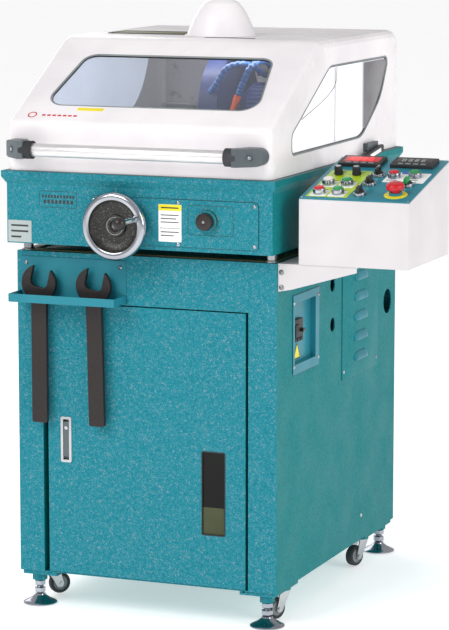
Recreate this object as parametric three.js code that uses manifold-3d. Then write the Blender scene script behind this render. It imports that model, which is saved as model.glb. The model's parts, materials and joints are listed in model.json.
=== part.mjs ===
// Cabinet-mounted abrasive cut-off machine: a welded cabinet on feet and casters, a flared bed casing,
// a hinged splash hood with windows, a handwheel-fed work table under a guarded cutting wheel, and a
// side-mounted control desk. Millimetres, +Z up, -Y is the operator's side.
import * as THREE from 'three';
import { mergeVertices } from 'three/addons/utils/BufferGeometryUtils.js';
import Module from 'manifold-3d';

const wasm = await Module();
wasm.setup();

// ---------------------------------------------------------------- driving dimensions
const GAP = 0.3; // air between pieces that seat on each other
const RUN = 0.4; // radial clearance of a turning or sliding fit

const CAB = { width: 640, depth: 831, bottom: 85, top: 839, sheet: 3, floor: 2, flange: 27 };
const SIDE = CAB.width / 2; // the outer face of either side wall
const DOOR = {
  left: -245, right: 245, bottom: 88, top: 722, thick: 20, sheet: 2,
  gapLeft: 13, gapRight: 6.5, gapTop: 3, pinInset: 6, pinBack: 8, pinR: 4,
};
const PANE = { left: 139, right: 195.5, bottom: 208, top: 401, lap: 6, thick: 3 };
const LATCH = { left: -213, right: -186, bottom: 350, top: 457, lip: 3, wall: 3, depth: 18, proud: 1.5 };
const FOOT = {
  x: SIDE - 34, inset: 33, rearInset: 12, padR: 40, padH: 24, stemR: 8, stemTop: 84,
  nutAcross: 24, nutH: 11, sleeveAcross: 30, sleeveH: 18,
};
const CORNER = { width: 86, frontLength: 150, rearLength: 196, inset: 5, thick: 10 };
const CASTER = {
  x: SIDE - 28, front: 107, rear: CAB.depth - 176, clear: 4, wheelR: 25.5, wheelW: 20, trail: 20,
  axleR: 4, cheek: 3, cheekGap: 1.6, bossR: 22, bossH: 5, stemR: 6, discR: 20, discH: 5,
};
const CASTER_HEADINGS = { front_right: -25, front_left: 135, rear_right: -20, rear_left: 140 };
const RACK = {
  left: -310, right: -46, bottom: 731, top: 827, depth: 70, lip: 19, sheet: 2,
  slotW: 44, slotNear: 11, slotFar: 29,
};
const WRENCH = {
  headR: 43, jaw: 43, jawDepth: 52, jawTilt: -13, handleW: 38, thick: 12, back: 14, length: 367,
};
const WRENCH_X = { wrench_left: -255, wrench_right: -118 };
const WRENCH_LEAN = { wrench_left: 0, wrench_right: 1.2 };

const BREAKER = {
  near: 100, far: 272, bottom: 570.5, top: 753, border: 9, rearBorder: 23, deep: 12, sheet: 1.5,
};
const BREAKER_BODY = { y: 146, z: 668, width: 60, height: 52, out: 9 };
const VENT = {
  near: CAB.depth - 397, far: CAB.depth - 138, bottom: 503, top: 789, sheet: 1.5, pitch: 48.5, count: 5,
};
const LOUVRE = { near: VENT.near + 85, far: VENT.far - 84, height: 20, proud: 7 };
const PORTS = [
  { y: VENT.near - 66.5, z: 743.5, r: 17 },
  { y: VENT.near - 65.5, z: 648.5, r: 17 },
  { y: VENT.far + 78, z: 649, r: 31 },
];

const BED = {
  width: CAB.width + 9, front: -41, back: CAB.depth - 1, bottom: 861.5,
  flareStart: 998, rimBottom: 1014, rimTop: 1027.6,
  overhang: 10, wall: 6, deck: 6, deckTop: 961,
};
const POST = { r: 10, inset: 20, plate: 3, barW: 24 };
const COVER = { left: -115, right: 292, bottom: 871.5, top: 977.5, thick: 2.5, corner: 10 };

const WHEEL = {
  x: -41.8, z: 915, rimR: 76.5, rimInner: 59, front: -85, rimDepth: 28, webFront: -66, webThick: 6,
  hubR: 24.5, hubFront: -71, shaftR: 10, shaftEnd: 60,
};
const CRANK = { radius: 58, angle: 19, bossR: 8.6, baseR: 8, neckR: 5.6, reach: 85, ballR: 15, boltR: 3 };
const KNOB = { x: 170, z: 932.5, r: 20, front: -68, back: -52, collarR: 25, shaftR: 6, shaftEnd: 10 };

const HOOD = {
  halfWidth: BED.width / 2 - 2.5, front: -44, back: BED.back + 7,
  bottom: 1028.4, apronTop: 1140, slopeTopY: 266, top: 1318,
  wall: 4, edge: 18, frontRound: 20, kneeRound: 60, backRound: 48,
};
const HINGE = { y: HOOD.back + 15, z: 1035, pinR: 4, sleeveR: 8, x: 220, sleeveL: 22, lugL: 10 };
const GLASS = { thick: 3, lap: 10 };
const FRONT_PANE = { low: 69, high: 280, lowHalf: 262, highHalf: 232, shift: 4, lowRound: 42, highRound: 34 };
// Corners of the side windows: y, z, corner radius, then how far the glass lap moves each along y and z.
const SIDE_PANE = [
  [84, 1072, 16, -1, -1],
  [HOOD.back - 277, 1074, 110, 0.4, -1],
  [HOOD.back - 137, 1160, 150, 1, -0.5],
  [HOOD.back - 78, 1257, 16, 1.2, 1],
  [336, 1257, 70, -0.3, 1],
  [84, 1119, 24, -1, 0.6],
];
const BAR = { r: 15.2, bore: 13, y: -90, z: 1081, half: 252, socketIn: 234, socketOut: 258, socketR: 19.5 };
const BAR_END = { out: 318, height: 40, depth: 65.5 };
const DOME = { x: 28, y: 394, r: 80.5, height: 88, flangeR: 86, flangeH: 3, wall: 4 };
const SWITCH = { y: 592, z: 1033, length: 134, height: 18, thick: 11, tilt: 7 };
const ACTUATOR = { near: 572, far: 650, bottom: 1040, top: 1058, thick: 12 };

const SPINDLE = { y: 430, z: 1145, motorR: 62, motorLeft: 74, motorRight: 288, arborR: 12, arborEnd: 130 };
const PEDESTAL = { left: 112, right: 270, halfDepth: 74 };
const CUT = { x: 33, r: 122, thick: 3, flangeR: 38, flangeT: 7 };
const GUARD = { left: CUT.x - 24, right: CUT.x + 24, r: CUT.r + 14, wall: 4, cutBelow: -38 };
const TABLE = {
  left: -232, right: 26, near: 205, far: 585, bottom: 984, top: 1010, saddleHalf: 70, slotW: 12, slotD: 10,
  slotPitch: 64, nutHalf: 11,
};

const DESK = {
  left: SIDE + 50.5, right: SIDE + 306.5, depth: 288, bottom: 839.5, front: 986, rise: 65.5, sheet: 2,
};
const ARM = {
  rootBottom: 776, kneeX: SIDE + 32, kneeZ: 782, tipX: DESK.left + 134.5, tipZ: 827, top: DESK.bottom - GAP,
  sheet: 2.5, back: 230, y: 4,
};
const PANEL = { thick: 2.5, bezelR: 14.5, boreR: 11.4, buttonR: 11, tall: 13, low: 8, post: 9 };
const DISPLAYS = [
  { left: 13, right: 115, near: 224, far: 281 },
  { left: 136, right: 238, near: 227, far: 281 },
];
const STOP = { r: 20, plateR: 26, collarR: 15, collarH: 8, x: 211, y: 43 };
const BUTTONS = {
  button_lamp_off: [36, 36, 'red'],
  button_lamp_on: [79, 38, 'green'],
  button_coolant_off: [36, 98, 'ivory'],
  button_coolant_on: [79, 100, 'green'],
  button_stop: [169, 162, 'red'],
  button_start: [216, 168, 'green'],
};
const SELECTORS = {
  selector_front: [130, 36, 'black'],
  selector_middle: [130, 105, 'black'],
  selector_back: [130, 168, 'black'],
  selector_mode: [217, 107, 'green'],
};
const POTS = { speed_knob_left: [36, 167], speed_knob_right: [78, 169] };

// ---------------------------------------------------------------- finishes
const finish = (color, roughness, metalness) =>
  new THREE.MeshStandardMaterial({ color, roughness, metalness });
const FINISH = {
  teal: finish(0x2a8d97, 0.45, 0.1),
  white: finish(0xf2f0f2, 0.3, 0),
  blue: finish(0x2b4a66, 0.45, 0.2),
  chrome: finish(0xc9ccd2, 0.15, 1),
  steel: finish(0x9a9ca0, 0.35, 0.9),
  blackened: finish(0x2e2a2b, 0.5, 0.5),
  black: finish(0x17171a, 0.4, 0),
  rubber: finish(0x26272b, 0.7, 0),
  glass: finish(0xbfd0cf, 0.05, 0),
  abrasive: finish(0x4b4640, 0.9, 0),
  red: finish(0xcf1f25, 0.35, 0),
  green: finish(0x1d9a4b, 0.35, 0),
  ivory: finish(0xe9e7da, 0.35, 0),
  grey: finish(0x6f7073, 0.5, 0),
};

// ---------------------------------------------------------------- solid helpers
const DEG = Math.PI / 180;

/** Turn a closed three.js geometry into a solid that can be cut and joined. */
function solid(geometry) {
  const bare = geometry.clone();
  bare.deleteAttribute('normal');
  bare.deleteAttribute('uv');
  const merged = mergeVertices(bare, 1e-4);
  return new wasm.Manifold(new wasm.Mesh({
    numProp: 3,
    vertProperties: new Float32Array(merged.attributes.position.array),
    triVerts: new Uint32Array(merged.index.array),
  }));
}

/** A box given by its two corners. */
function block(x0, x1, y0, y1, z0, z1) {
  const geometry = new THREE.BoxGeometry(x1 - x0, y1 - y0, z1 - z0);
  geometry.translate((x0 + x1) / 2, (y0 + y1) / 2, (z0 + z1) / 2);
  return solid(geometry);
}

/** A cylinder or cone along one axis, from a start coordinate to an end coordinate. */
function rod(axis, a, b, from, to, r, sides = 16, rEnd = r) {
  const geometry = new THREE.CylinderGeometry(rEnd, r, to - from, sides);
  if (axis === 'x') geometry.rotateZ(-Math.PI / 2);
  if (axis === 'z') geometry.rotateX(Math.PI / 2);
  const mid = (from + to) / 2;
  const at = { x: [mid, a, b], y: [a, mid, b], z: [a, b, mid] }[axis];
  geometry.translate(...at);
  return solid(geometry);
}

/** A turned solid about the vertical line through (x, y); the profile starts and ends on the axis. */
function turned(profile, x, y, sides = 24) {
  const geometry = new THREE.LatheGeometry(profile.map(([r, z]) => new THREE.Vector2(r, z)), sides);
  geometry.rotateX(Math.PI / 2);
  geometry.translate(x, y, 0);
  return solid(geometry);
}

/** A turned solid about a line along Y through (x, z); the profile is (radius, y), front to back. */
function turnedAlongY(profile, x, z, sides = 24) {
  const points = profile.map(([r, y]) => new THREE.Vector2(r, y));
  const geometry = new THREE.LatheGeometry(points, sides);
  geometry.translate(x, 0, z);
  return solid(geometry);
}

/** An outline with rounded corners: points are [a, b, radius]. */
function outline(points) {
  const shape = new THREE.Shape();
  points.forEach(([a, b, r = 0], i) => {
    const [pa, pb] = points[(i + points.length - 1) % points.length];
    const [na, nb] = points[(i + 1) % points.length];
    const inward = new THREE.Vector2(pa - a, pb - b).normalize();
    const outward = new THREE.Vector2(na - a, nb - b).normalize();
    const half = Math.acos(THREE.MathUtils.clamp(inward.dot(outward), -1, 1)) / 2;
    const reach = r / Math.tan(half);
    const steps = r > 0 ? Math.max(3, Math.ceil((Math.PI - 2 * half) / (20 * DEG))) : 0;
    if (!steps) {
      if (i === 0) shape.moveTo(a, b);
      else shape.lineTo(a, b);
      return;
    }
    const bisector = inward.clone().add(outward).normalize();
    const centre = new THREE.Vector2(a, b).addScaledVector(bisector, r / Math.sin(half));
    const start = new THREE.Vector2(a, b).addScaledVector(inward, reach).sub(centre);
    const end = new THREE.Vector2(a, b).addScaledVector(outward, reach).sub(centre);
    const sweep = Math.atan2(start.x * end.y - start.y * end.x, start.dot(end));
    for (let k = 0; k <= steps; k += 1) {
      const p = start.clone().rotateAround(new THREE.Vector2(), (sweep * k) / steps).add(centre);
      if (i === 0 && k === 0) shape.moveTo(p.x, p.y);
      else shape.lineTo(p.x, p.y);
    }
  });
  shape.closePath();
  return shape;
}

/** A rectangle's outline with one corner radius. */
const rectangle = (a0, a1, b0, b1, r = 0) => outline([[a0, b0, r], [a1, b0, r], [a1, b1, r], [a0, b1, r]]);

/** Extrude an outline drawn in (x, y) along +Z from z0 to z1. */
function extrudeZ(shape, z0, z1) {
  const geometry = new THREE.ExtrudeGeometry(shape, { depth: z1 - z0, bevelEnabled: false });
  geometry.translate(0, 0, z0);
  return solid(geometry);
}

/** Extrude an outline drawn in (x, z) along Y from y0 to y1. */
function extrudeY(shape, y0, y1) {
  const geometry = new THREE.ExtrudeGeometry(shape, { depth: y1 - y0, bevelEnabled: false });
  geometry.rotateX(Math.PI / 2);
  geometry.translate(0, y1, 0);
  return solid(geometry);
}

/** Extrude an outline drawn in (y, z) along X from x0 to x1, with optional rounded end edges. */
function extrudeX(shape, x0, x1, round = 0) {
  const options = round
    ? { depth: x1 - x0 - 2 * round, bevelThickness: round, bevelSize: round, bevelOffset: -round, bevelSegments: 3 }
    : { depth: x1 - x0, bevelEnabled: false };
  const geometry = new THREE.ExtrudeGeometry(shape, options);
  geometry.translate(0, 0, x0 + round);
  geometry.applyMatrix4(new THREE.Matrix4().set(0, 0, 1, 0, 1, 0, 0, 0, 0, 1, 0, 0, 0, 0, 0, 1));
  return solid(geometry);
}

const join = (...pieces) => pieces.reduce((a, b) => a.add(b));
const cut = (body, ...tools) => tools.reduce((a, b) => a.subtract(b), body);

/** Move and turn a solid: turns in degrees about X, Y and Z, then the shift. */
function placed(body, shift, turn = [0, 0, 0]) {
  return body.rotate(turn).translate(shift);
}

/** Wrap a solid as the named mesh of one piece. */
function piece(name, body, material) {
  const { vertProperties, triVerts } = body.getMesh();
  const geometry = new THREE.BufferGeometry();
  geometry.setAttribute('position', new THREE.BufferAttribute(new Float32Array(vertProperties), 3));
  geometry.setIndex(new THREE.BufferAttribute(new Uint32Array(triVerts), 1));
  geometry.computeVertexNormals();
  const mesh = new THREE.Mesh(geometry, material);
  mesh.name = name;
  return mesh;
}

const machine = new THREE.Group();
const add = (name, body, material) => machine.add(piece(name, body, material));

// ---------------------------------------------------------------- cabinet
const footSpots = {
  front_left: [-FOOT.x, FOOT.inset],
  front_right: [FOOT.x, FOOT.inset],
  rear_left: [-FOOT.x, CAB.depth - FOOT.rearInset],
  rear_right: [FOOT.x, CAB.depth - FOOT.rearInset],
};
const casterSpots = {
  front_left: [-CASTER.x, CASTER.front],
  front_right: [CASTER.x, CASTER.front],
  rear_left: [-CASTER.x, CASTER.rear],
  rear_right: [CASTER.x, CASTER.rear],
};
const plateBottom = CAB.bottom - CORNER.thick;
const doorPin = { x: DOOR.right - DOOR.pinInset, y: DOOR.pinBack };
const opening = {
  left: DOOR.left - DOOR.gapLeft, right: DOOR.right + DOOR.gapRight, top: DOOR.top + DOOR.gapTop,
};

/** The folded door frame, the floor and the skin of the cabinet, with its side cut-outs. */
function cabinetSkin() {
  const s = CAB.sheet;
  const floorTop = CAB.bottom + CAB.floor;
  const skin = cut(
    block(-SIDE, SIDE, 0, CAB.depth, CAB.bottom, CAB.top),
    block(-SIDE + s, SIDE - s, s, CAB.depth - s, floorTop, CAB.top - s),
    block(opening.left, opening.right, -1, s + 1, floorTop, opening.top),
    rod('z', 0, CAB.depth - 211, CAB.top - 10, CAB.top + 10, 45),
  );
  const frame = join(
    block(opening.left - s, opening.left, s - 1, CAB.flange, CAB.bottom, opening.top + s),
    block(opening.right, opening.right + s, s - 1, CAB.flange, CAB.bottom, opening.top + s),
    block(opening.left - s, opening.right + s, s - 1, CAB.flange, opening.top, opening.top + s),
  );
  return join(skin, frame);
}

/** One bottom corner: plate, foot sleeve and caster boss. */
function cabinetCorner(key) {
  const [fx, fy] = footSpots[key];
  const [cx, cy] = casterSpots[key];
  const right = fx > 0;
  const front = key.startsWith('front');
  const outer = SIDE - CORNER.inset;
  const x0 = right ? outer - CORNER.width : -outer;
  const length = front ? CORNER.frontLength : CORNER.rearLength;
  const y0 = front ? CORNER.inset : CAB.depth - CORNER.inset - length;
  return join(
    block(x0, x0 + CORNER.width, y0, y0 + length, plateBottom, CAB.bottom + 1),
    rod('z', fx, fy, plateBottom - FOOT.sleeveH, plateBottom + 1, FOOT.sleeveAcross / Math.sqrt(3), 6),
    rod('z', cx, cy, plateBottom - CASTER.bossH, plateBottom + 1, CASTER.bossR),
  );
}

function cabinetShell() {
  const keys = Object.keys(footSpots);
  const wall = [SIDE - CAB.sheet - 1, SIDE + 1];
  const bores = keys.flatMap((key) => [
    rod('z', ...footSpots[key], plateBottom - 40, CAB.bottom + 10, FOOT.stemR + RUN),
    rod('z', ...casterSpots[key], plateBottom - 40, CAB.bottom + 10, CASTER.stemR + RUN),
  ]);
  return cut(
    join(cabinetSkin(), ...keys.map(cabinetCorner)),
    ...bores,
    rod('z', doorPin.x, doorPin.y, CAB.bottom - 5, CAB.bottom + 5, DOOR.pinR + RUN),
    rod('z', doorPin.x, doorPin.y, opening.top - 2, opening.top + 10, DOOR.pinR + RUN),
    ...PORTS.map(({ y, z, r }) => rod('x', y, z, ...wall, r)),
    block(...wall, BREAKER.near + BREAKER.border - 1, BREAKER.far - BREAKER.rearBorder + 1,
      BREAKER.bottom + 20, BREAKER.top - 17),
    block(...wall, LOUVRE.near - 8, LOUVRE.far + 8, VENT.bottom + 26, VENT.top - 26),
  );
}
add('cabinet_shell', cabinetShell(), FINISH.teal);

// ---------------------------------------------------------------- levelling feet
function levellingFoot(x, y) {
  const hex = FOOT.nutAcross / Math.sqrt(3);
  const pad = turned([
    [0, 0], [FOOT.padR, 0], [FOOT.padR, 4], [FOOT.padR - 10, 9.5], [FOOT.padR - 21, 15],
    [11, FOOT.padH], [0, FOOT.padH],
  ], x, y);
  const jamTop = plateBottom - FOOT.sleeveH - 1;
  return join(
    pad,
    rod('z', x, y, FOOT.padH - 1, FOOT.stemTop, FOOT.stemR),
    rod('z', x, y, FOOT.padH + 3, FOOT.padH + 3 + FOOT.nutH, hex, 6),
    rod('z', x, y, jamTop - FOOT.nutH, jamTop, hex, 6),
  );
}
for (const [key, [x, y]] of Object.entries(footSpots)) add(`foot_${key}`, levellingFoot(x, y), FINISH.chrome);

// ---------------------------------------------------------------- casters
function casterFork() {
  const axleZ = CASTER.clear + CASTER.wheelR;
  const top = plateBottom - CASTER.bossH - GAP;
  const inner = CASTER.wheelW / 2 + CASTER.cheekGap;
  const cheek = outline([
    [-CASTER.trail - 9, axleZ - 9, 8], [-CASTER.trail + 9, axleZ - 9, 8], [16, top - 2], [-16, top - 2],
  ]);
  return join(
    rod('z', 0, 0, top - CASTER.discH, top, CASTER.discR),
    rod('z', 0, 0, top - 1, CAB.bottom + 1, CASTER.stemR),
    extrudeX(cheek, inner, inner + CASTER.cheek),
    extrudeX(cheek, -inner - CASTER.cheek, -inner),
    rod('x', -CASTER.trail, axleZ, -inner - CASTER.cheek - 3, inner + CASTER.cheek + 3, CASTER.axleR),
  );
}
function casterWheel() {
  const axleZ = CASTER.clear + CASTER.wheelR;
  const half = CASTER.wheelW / 2;
  const rounded = join(
    rod('x', -CASTER.trail, axleZ, -half + 3, half - 3, CASTER.wheelR, 24),
    rod('x', -CASTER.trail, axleZ, -half, -half + 3, CASTER.wheelR - 3, 24, CASTER.wheelR),
    rod('x', -CASTER.trail, axleZ, half - 3, half, CASTER.wheelR, 24, CASTER.wheelR - 3),
  );
  return cut(rounded, rod('x', -CASTER.trail, axleZ, -half - 1, half + 1, CASTER.axleR + RUN));
}
for (const [key, [x, y]] of Object.entries(casterSpots)) {
  const turn = [0, 0, CASTER_HEADINGS[key]];
  add(`caster_fork_${key}`, placed(casterFork(), [x, y, 0], turn), FINISH.steel);
  add(`caster_wheel_${key}`, placed(casterWheel(), [x, y, 0], turn), FINISH.rubber);
}

// ---------------------------------------------------------------- door
function door() {
  const { left, right, bottom, top, thick, sheet } = DOOR;
  const pan = cut(
    block(left, right, 0, thick, bottom, top),
    block(left + sheet, right - sheet, sheet, thick + 1, bottom + sheet, top - sheet),
  );
  const pin = rod('z', doorPin.x, doorPin.y, CAB.bottom + GAP, opening.top + CAB.sheet - GAP, DOOR.pinR);
  const post = block(doorPin.x - 6, right - sheet + 0.5, sheet - 0.5, doorPin.y + 7, bottom, top);
  return cut(
    join(pan, post, pin),
    extrudeY(rectangle(PANE.left, PANE.right, PANE.bottom, PANE.top, 3), -1, sheet + 1),
    block(LATCH.left + LATCH.lip - GAP, LATCH.right - LATCH.lip + GAP, -1, sheet + 1,
      LATCH.bottom + LATCH.lip - GAP, LATCH.top - LATCH.lip + GAP),
  );
}
add('door', door(), FINISH.teal);

const paneY = DOOR.sheet + GAP;
add('door_window', block(PANE.left - PANE.lap, PANE.right + PANE.lap, paneY, paneY + PANE.thick,
  PANE.bottom - PANE.lap, PANE.top + PANE.lap), FINISH.glass);

const lever = {
  left: LATCH.left + LATCH.lip + LATCH.wall + RUN,
  right: LATCH.right - LATCH.lip - LATCH.wall - RUN,
  bottom: LATCH.bottom + 14, top: LATCH.top - 12, y: 4, z: LATCH.top - 16, pinR: 2,
};
function latchCase() {
  const { left, right, bottom, top, lip, wall, depth, proud } = LATCH;
  const flange = extrudeY(rectangle(left, right, bottom, top, 4), -proud - GAP, -GAP);
  const tray = block(left + lip, right - lip, -GAP - 0.5, depth, bottom + lip, top - lip);
  const pocket = block(left + lip + wall, right - lip - wall, -proud - 2, depth - 4,
    bottom + lip + wall, top - lip - wall);
  return cut(join(flange, tray), pocket,
    rod('x', lever.y, lever.z, left + lip + 0.8, right - lip - 0.8, lever.pinR + RUN, 16));
}
function latchLever() {
  const profile = outline([
    [-0.5, lever.bottom], [4, lever.bottom], [lever.y + 3, lever.z - 12],
    [lever.y + 3, lever.top], [-0.5, lever.top],
  ]);
  return join(extrudeX(profile, lever.left, lever.right),
    rod('x', lever.y, lever.z, lever.left - 1.8, lever.right + 1.8, lever.pinR, 16));
}
add('latch_case', latchCase(), FINISH.chrome);
add('latch_lever', latchLever(), FINISH.grey);

// ---------------------------------------------------------------- right side fittings
const sideFace = SIDE + GAP;
function breakerPanel() {
  const { near, far, bottom, top, border, rearBorder, deep, sheet } = BREAKER;
  const tray = [near + border, far - rearBorder, bottom + 21, top - 18];
  const [y0, y1, z0, z1] = tray;
  const body = join(
    block(sideFace, sideFace + sheet, near, far, bottom, top),
    block(SIDE - deep - sheet, sideFace + 0.5, y0, y1, z0, z1),
  );
  return cut(body, block(SIDE - deep, sideFace + sheet + 1, y0 + sheet, y1 - sheet, z0 + sheet, z1 - sheet));
}
add('breaker_panel', breakerPanel(), FINISH.teal);

const breakerBack = SIDE - BREAKER.deep + GAP;
const breakerFront = breakerBack + BREAKER_BODY.out;
function circuitBreaker() {
  const { y, z, width, height } = BREAKER_BODY;
  const body = block(breakerBack, breakerFront, y - width / 2, y + width / 2, z - height / 2, z + height / 2);
  const nose = block(breakerFront - 1, breakerFront + 3, y - width / 2 + 6, y + width / 2 - 6, z - 14, z + 14);
  return cut(join(body, nose), block(breakerFront - 5, breakerFront + 4, y + 4, y + 22, z - 9, z + 9));
}
function breakerToggle() {
  const y = BREAKER_BODY.y + 13;
  const z = BREAKER_BODY.z;
  return block(breakerFront - 3.5, breakerFront + 10, y - 8, y + 8, z - 3.5, z + 3.5);
}
add('circuit_breaker', circuitBreaker(), FINISH.black);
add('breaker_toggle', breakerToggle(), FINISH.black);

function ventCover() {
  const plate = block(sideFace, sideFace + VENT.sheet, VENT.near, VENT.far, VENT.bottom, VENT.top);
  const middle = (VENT.bottom + VENT.top) / 2;
  const hoods = [];
  const slots = [];
  for (let i = 0; i < VENT.count; i += 1) {
    const z = middle + (i - (VENT.count - 1) / 2) * VENT.pitch;
    const face = sideFace + VENT.sheet;
    const hoodShape = outline([
      [face - 1, z - LOUVRE.height / 2], [face + LOUVRE.proud, z - LOUVRE.height / 2, 2],
      [face + LOUVRE.proud - 2, z, 3], [face, z + LOUVRE.height / 2], [face - 1, z + LOUVRE.height / 2],
    ]);
    hoods.push(extrudeY(hoodShape, LOUVRE.near, LOUVRE.far));
    slots.push(block(sideFace - 1, face + LOUVRE.proud - 2.5, LOUVRE.near + 2, LOUVRE.far - 2,
      z - LOUVRE.height / 2 - 1, z - 2));
  }
  return cut(join(plate, ...hoods), ...slots);
}
add('vent_cover', ventCover(), FINISH.teal);

// ---------------------------------------------------------------- wrench rack and wrenches
function wrenchRack() {
  const { left, right, bottom, top, depth, lip, sheet, slotW, slotNear, slotFar } = RACK;
  const shelf = bottom - sheet;
  const tray = cut(
    block(left, right, -depth, -GAP, shelf, shelf + lip),
    block(left + sheet, right - sheet, -depth + sheet, 0, shelf + sheet, shelf + lip + 1),
  );
  const slots = Object.values(WRENCH_X).map((x) => block(
    x - slotW / 2, x + slotW / 2, -slotFar, -slotNear, shelf - 1, shelf + sheet + 1));
  return cut(join(tray, block(left, right, -sheet - GAP, -GAP, shelf, top)), ...slots);
}
add('wrench_rack', wrenchRack(), FINISH.teal);

const headDrop = Math.sqrt(WRENCH.headR ** 2 - (RACK.slotW / 2) ** 2);
const headZ = RACK.bottom + GAP + headDrop;
function wrench() {
  const handle = extrudeY(rectangle(-WRENCH.handleW / 2, WRENCH.handleW / 2, -WRENCH.length + WRENCH.headR, 0, 4),
    -WRENCH.back - WRENCH.thick, -WRENCH.back);
  const head = rod('y', 0, 0, -WRENCH.back - WRENCH.thick, -WRENCH.back, WRENCH.headR, 36);
  const jaw = extrudeY(outline([
    [-WRENCH.jaw / 2, WRENCH.headR - WRENCH.jawDepth, 13], [WRENCH.jaw / 2, WRENCH.headR - WRENCH.jawDepth, 13],
    [WRENCH.jaw / 2, WRENCH.headR + 20], [-WRENCH.jaw / 2, WRENCH.headR + 20],
  ]), -WRENCH.back - WRENCH.thick - 1, -WRENCH.back + 1);
  return cut(join(head, handle), jaw.rotate([0, -WRENCH.jawTilt, 0]));
}
for (const [name, x] of Object.entries(WRENCH_X)) {
  add(name, placed(wrench(), [x, 0, headZ], [0, WRENCH_LEAN[name] * -1, 0]), FINISH.blackened);
}

// ---------------------------------------------------------------- spacers and bed casing
function spacerFrame() {
  const z0 = CAB.top + GAP;
  const z1 = BED.bottom - GAP;
  const x = SIDE - POST.inset;
  const y0 = POST.inset;
  const y1 = BED.back - POST.inset;
  const ring = cut(
    block(-x - POST.r, x + POST.r, y0 - POST.r, y1 + POST.r, z0, z0 + POST.plate),
    block(-x - POST.r + POST.barW, x + POST.r - POST.barW, y0 - POST.r + POST.barW, y1 + POST.r - POST.barW,
      z0 - 1, z0 + POST.plate + 1),
  );
  const posts = [[-x, y0], [x, y0], [-x, y1], [x, y1]].map(([px, py]) => rod('z', px, py, z0, z1, POST.r));
  return join(ring, ...posts);
}
add('spacer_frame', spacerFrame(), FINISH.steel);

/** The flared underside of the rim, as a solid between two levels that widens by the overhang. */
function flare(half, front, back, z0, z1, out) {
  const geometry = new THREE.BoxGeometry(1, 1, 1);
  const position = geometry.attributes.position;
  for (let i = 0; i < position.count; i += 1) {
    const top = position.getZ(i) > 0;
    const grow = top ? out : 0;
    position.setXYZ(i,
      Math.sign(position.getX(i)) * (half + grow),
      position.getY(i) > 0 ? back + grow : front - grow,
      top ? z1 : z0);
  }
  return solid(geometry);
}

/** The fixed half of the rear hood hinges: lugs with their pin. */
function hingeLugs(x) {
  const half = HINGE.sleeveL / 2 + GAP;
  const lug = (x0, x1) => join(
    block(x0, x1, BED.back + BED.overhang - 1, HINGE.y + 6, BED.rimBottom + 1, BED.rimTop - 2),
    block(x0, x1, HINGE.y - 6, HINGE.y + 6, BED.rimBottom + 1, HINGE.z),
    rod('x', HINGE.y, HINGE.z, x0, x1, HINGE.sleeveR),
  );
  return join(
    lug(x - half - HINGE.lugL, x - half),
    lug(x + half, x + half + HINGE.lugL),
    rod('x', HINGE.y, HINGE.z, x - half - HINGE.lugL, x + half + HINGE.lugL, HINGE.pinR),
  );
}

function bedCasing() {
  const { front, back, bottom, flareStart, rimBottom, rimTop, overhang, wall, deck, deckTop } = BED;
  const half = BED.width / 2;
  const outer = join(
    block(-half, half, front, back, bottom, flareStart + 0.01),
    flare(half, front, back, flareStart, rimBottom, overhang),
    block(-half - overhang, half + overhang, front - overhang, back + overhang, rimBottom - 0.01, rimTop),
    hingeLugs(-HINGE.x),
    hingeLugs(HINGE.x),
  );
  return cut(outer,
    block(-half + wall, half - wall, front + wall, back - wall, deckTop, rimTop + 1),
    block(-half + wall, half - wall, front + wall, back - wall, bottom - 1, deckTop - deck),
    block(WHEEL.x - TABLE.nutHalf - 6, WHEEL.x + TABLE.nutHalf + 6, TABLE.near - 20, TABLE.far + 100,
      deckTop - deck - 1, deckTop + 1),
    rod('z', 210, back - 130, deckTop - deck - 1, deckTop + 1, 28),
    rod('z', -250, back - 110, deckTop - deck - 1, deckTop + 1, 28),
    rod('y', WHEEL.x, WHEEL.z, front - 1, front + wall + 1, WHEEL.shaftR + RUN),
    rod('y', KNOB.x, KNOB.z, front - 1, front + wall + 1, KNOB.shaftR + RUN));
}
add('bed_casing', bedCasing(), FINISH.teal);

const coverBack = BED.front - GAP;
const coverFront = coverBack - COVER.thick;
function frontCover() {
  const plate = extrudeY(rectangle(COVER.left, COVER.right, COVER.bottom, COVER.top, COVER.corner),
    coverFront, coverBack);
  const collar = rod('y', KNOB.x, KNOB.z, KNOB.back + 1, coverFront + 1, KNOB.collarR);
  const boss = rod('y', WHEEL.x, WHEEL.z, coverFront - 4, coverFront + 1, 22);
  return cut(join(plate, collar, boss),
    rod('y', WHEEL.x, WHEEL.z, coverFront - 6, coverBack + 1, WHEEL.shaftR + RUN),
    rod('y', KNOB.x, KNOB.z, KNOB.back - 1, coverBack + 1, KNOB.shaftR + RUN));
}
add('front_cover', frontCover(), FINISH.teal);

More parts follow.
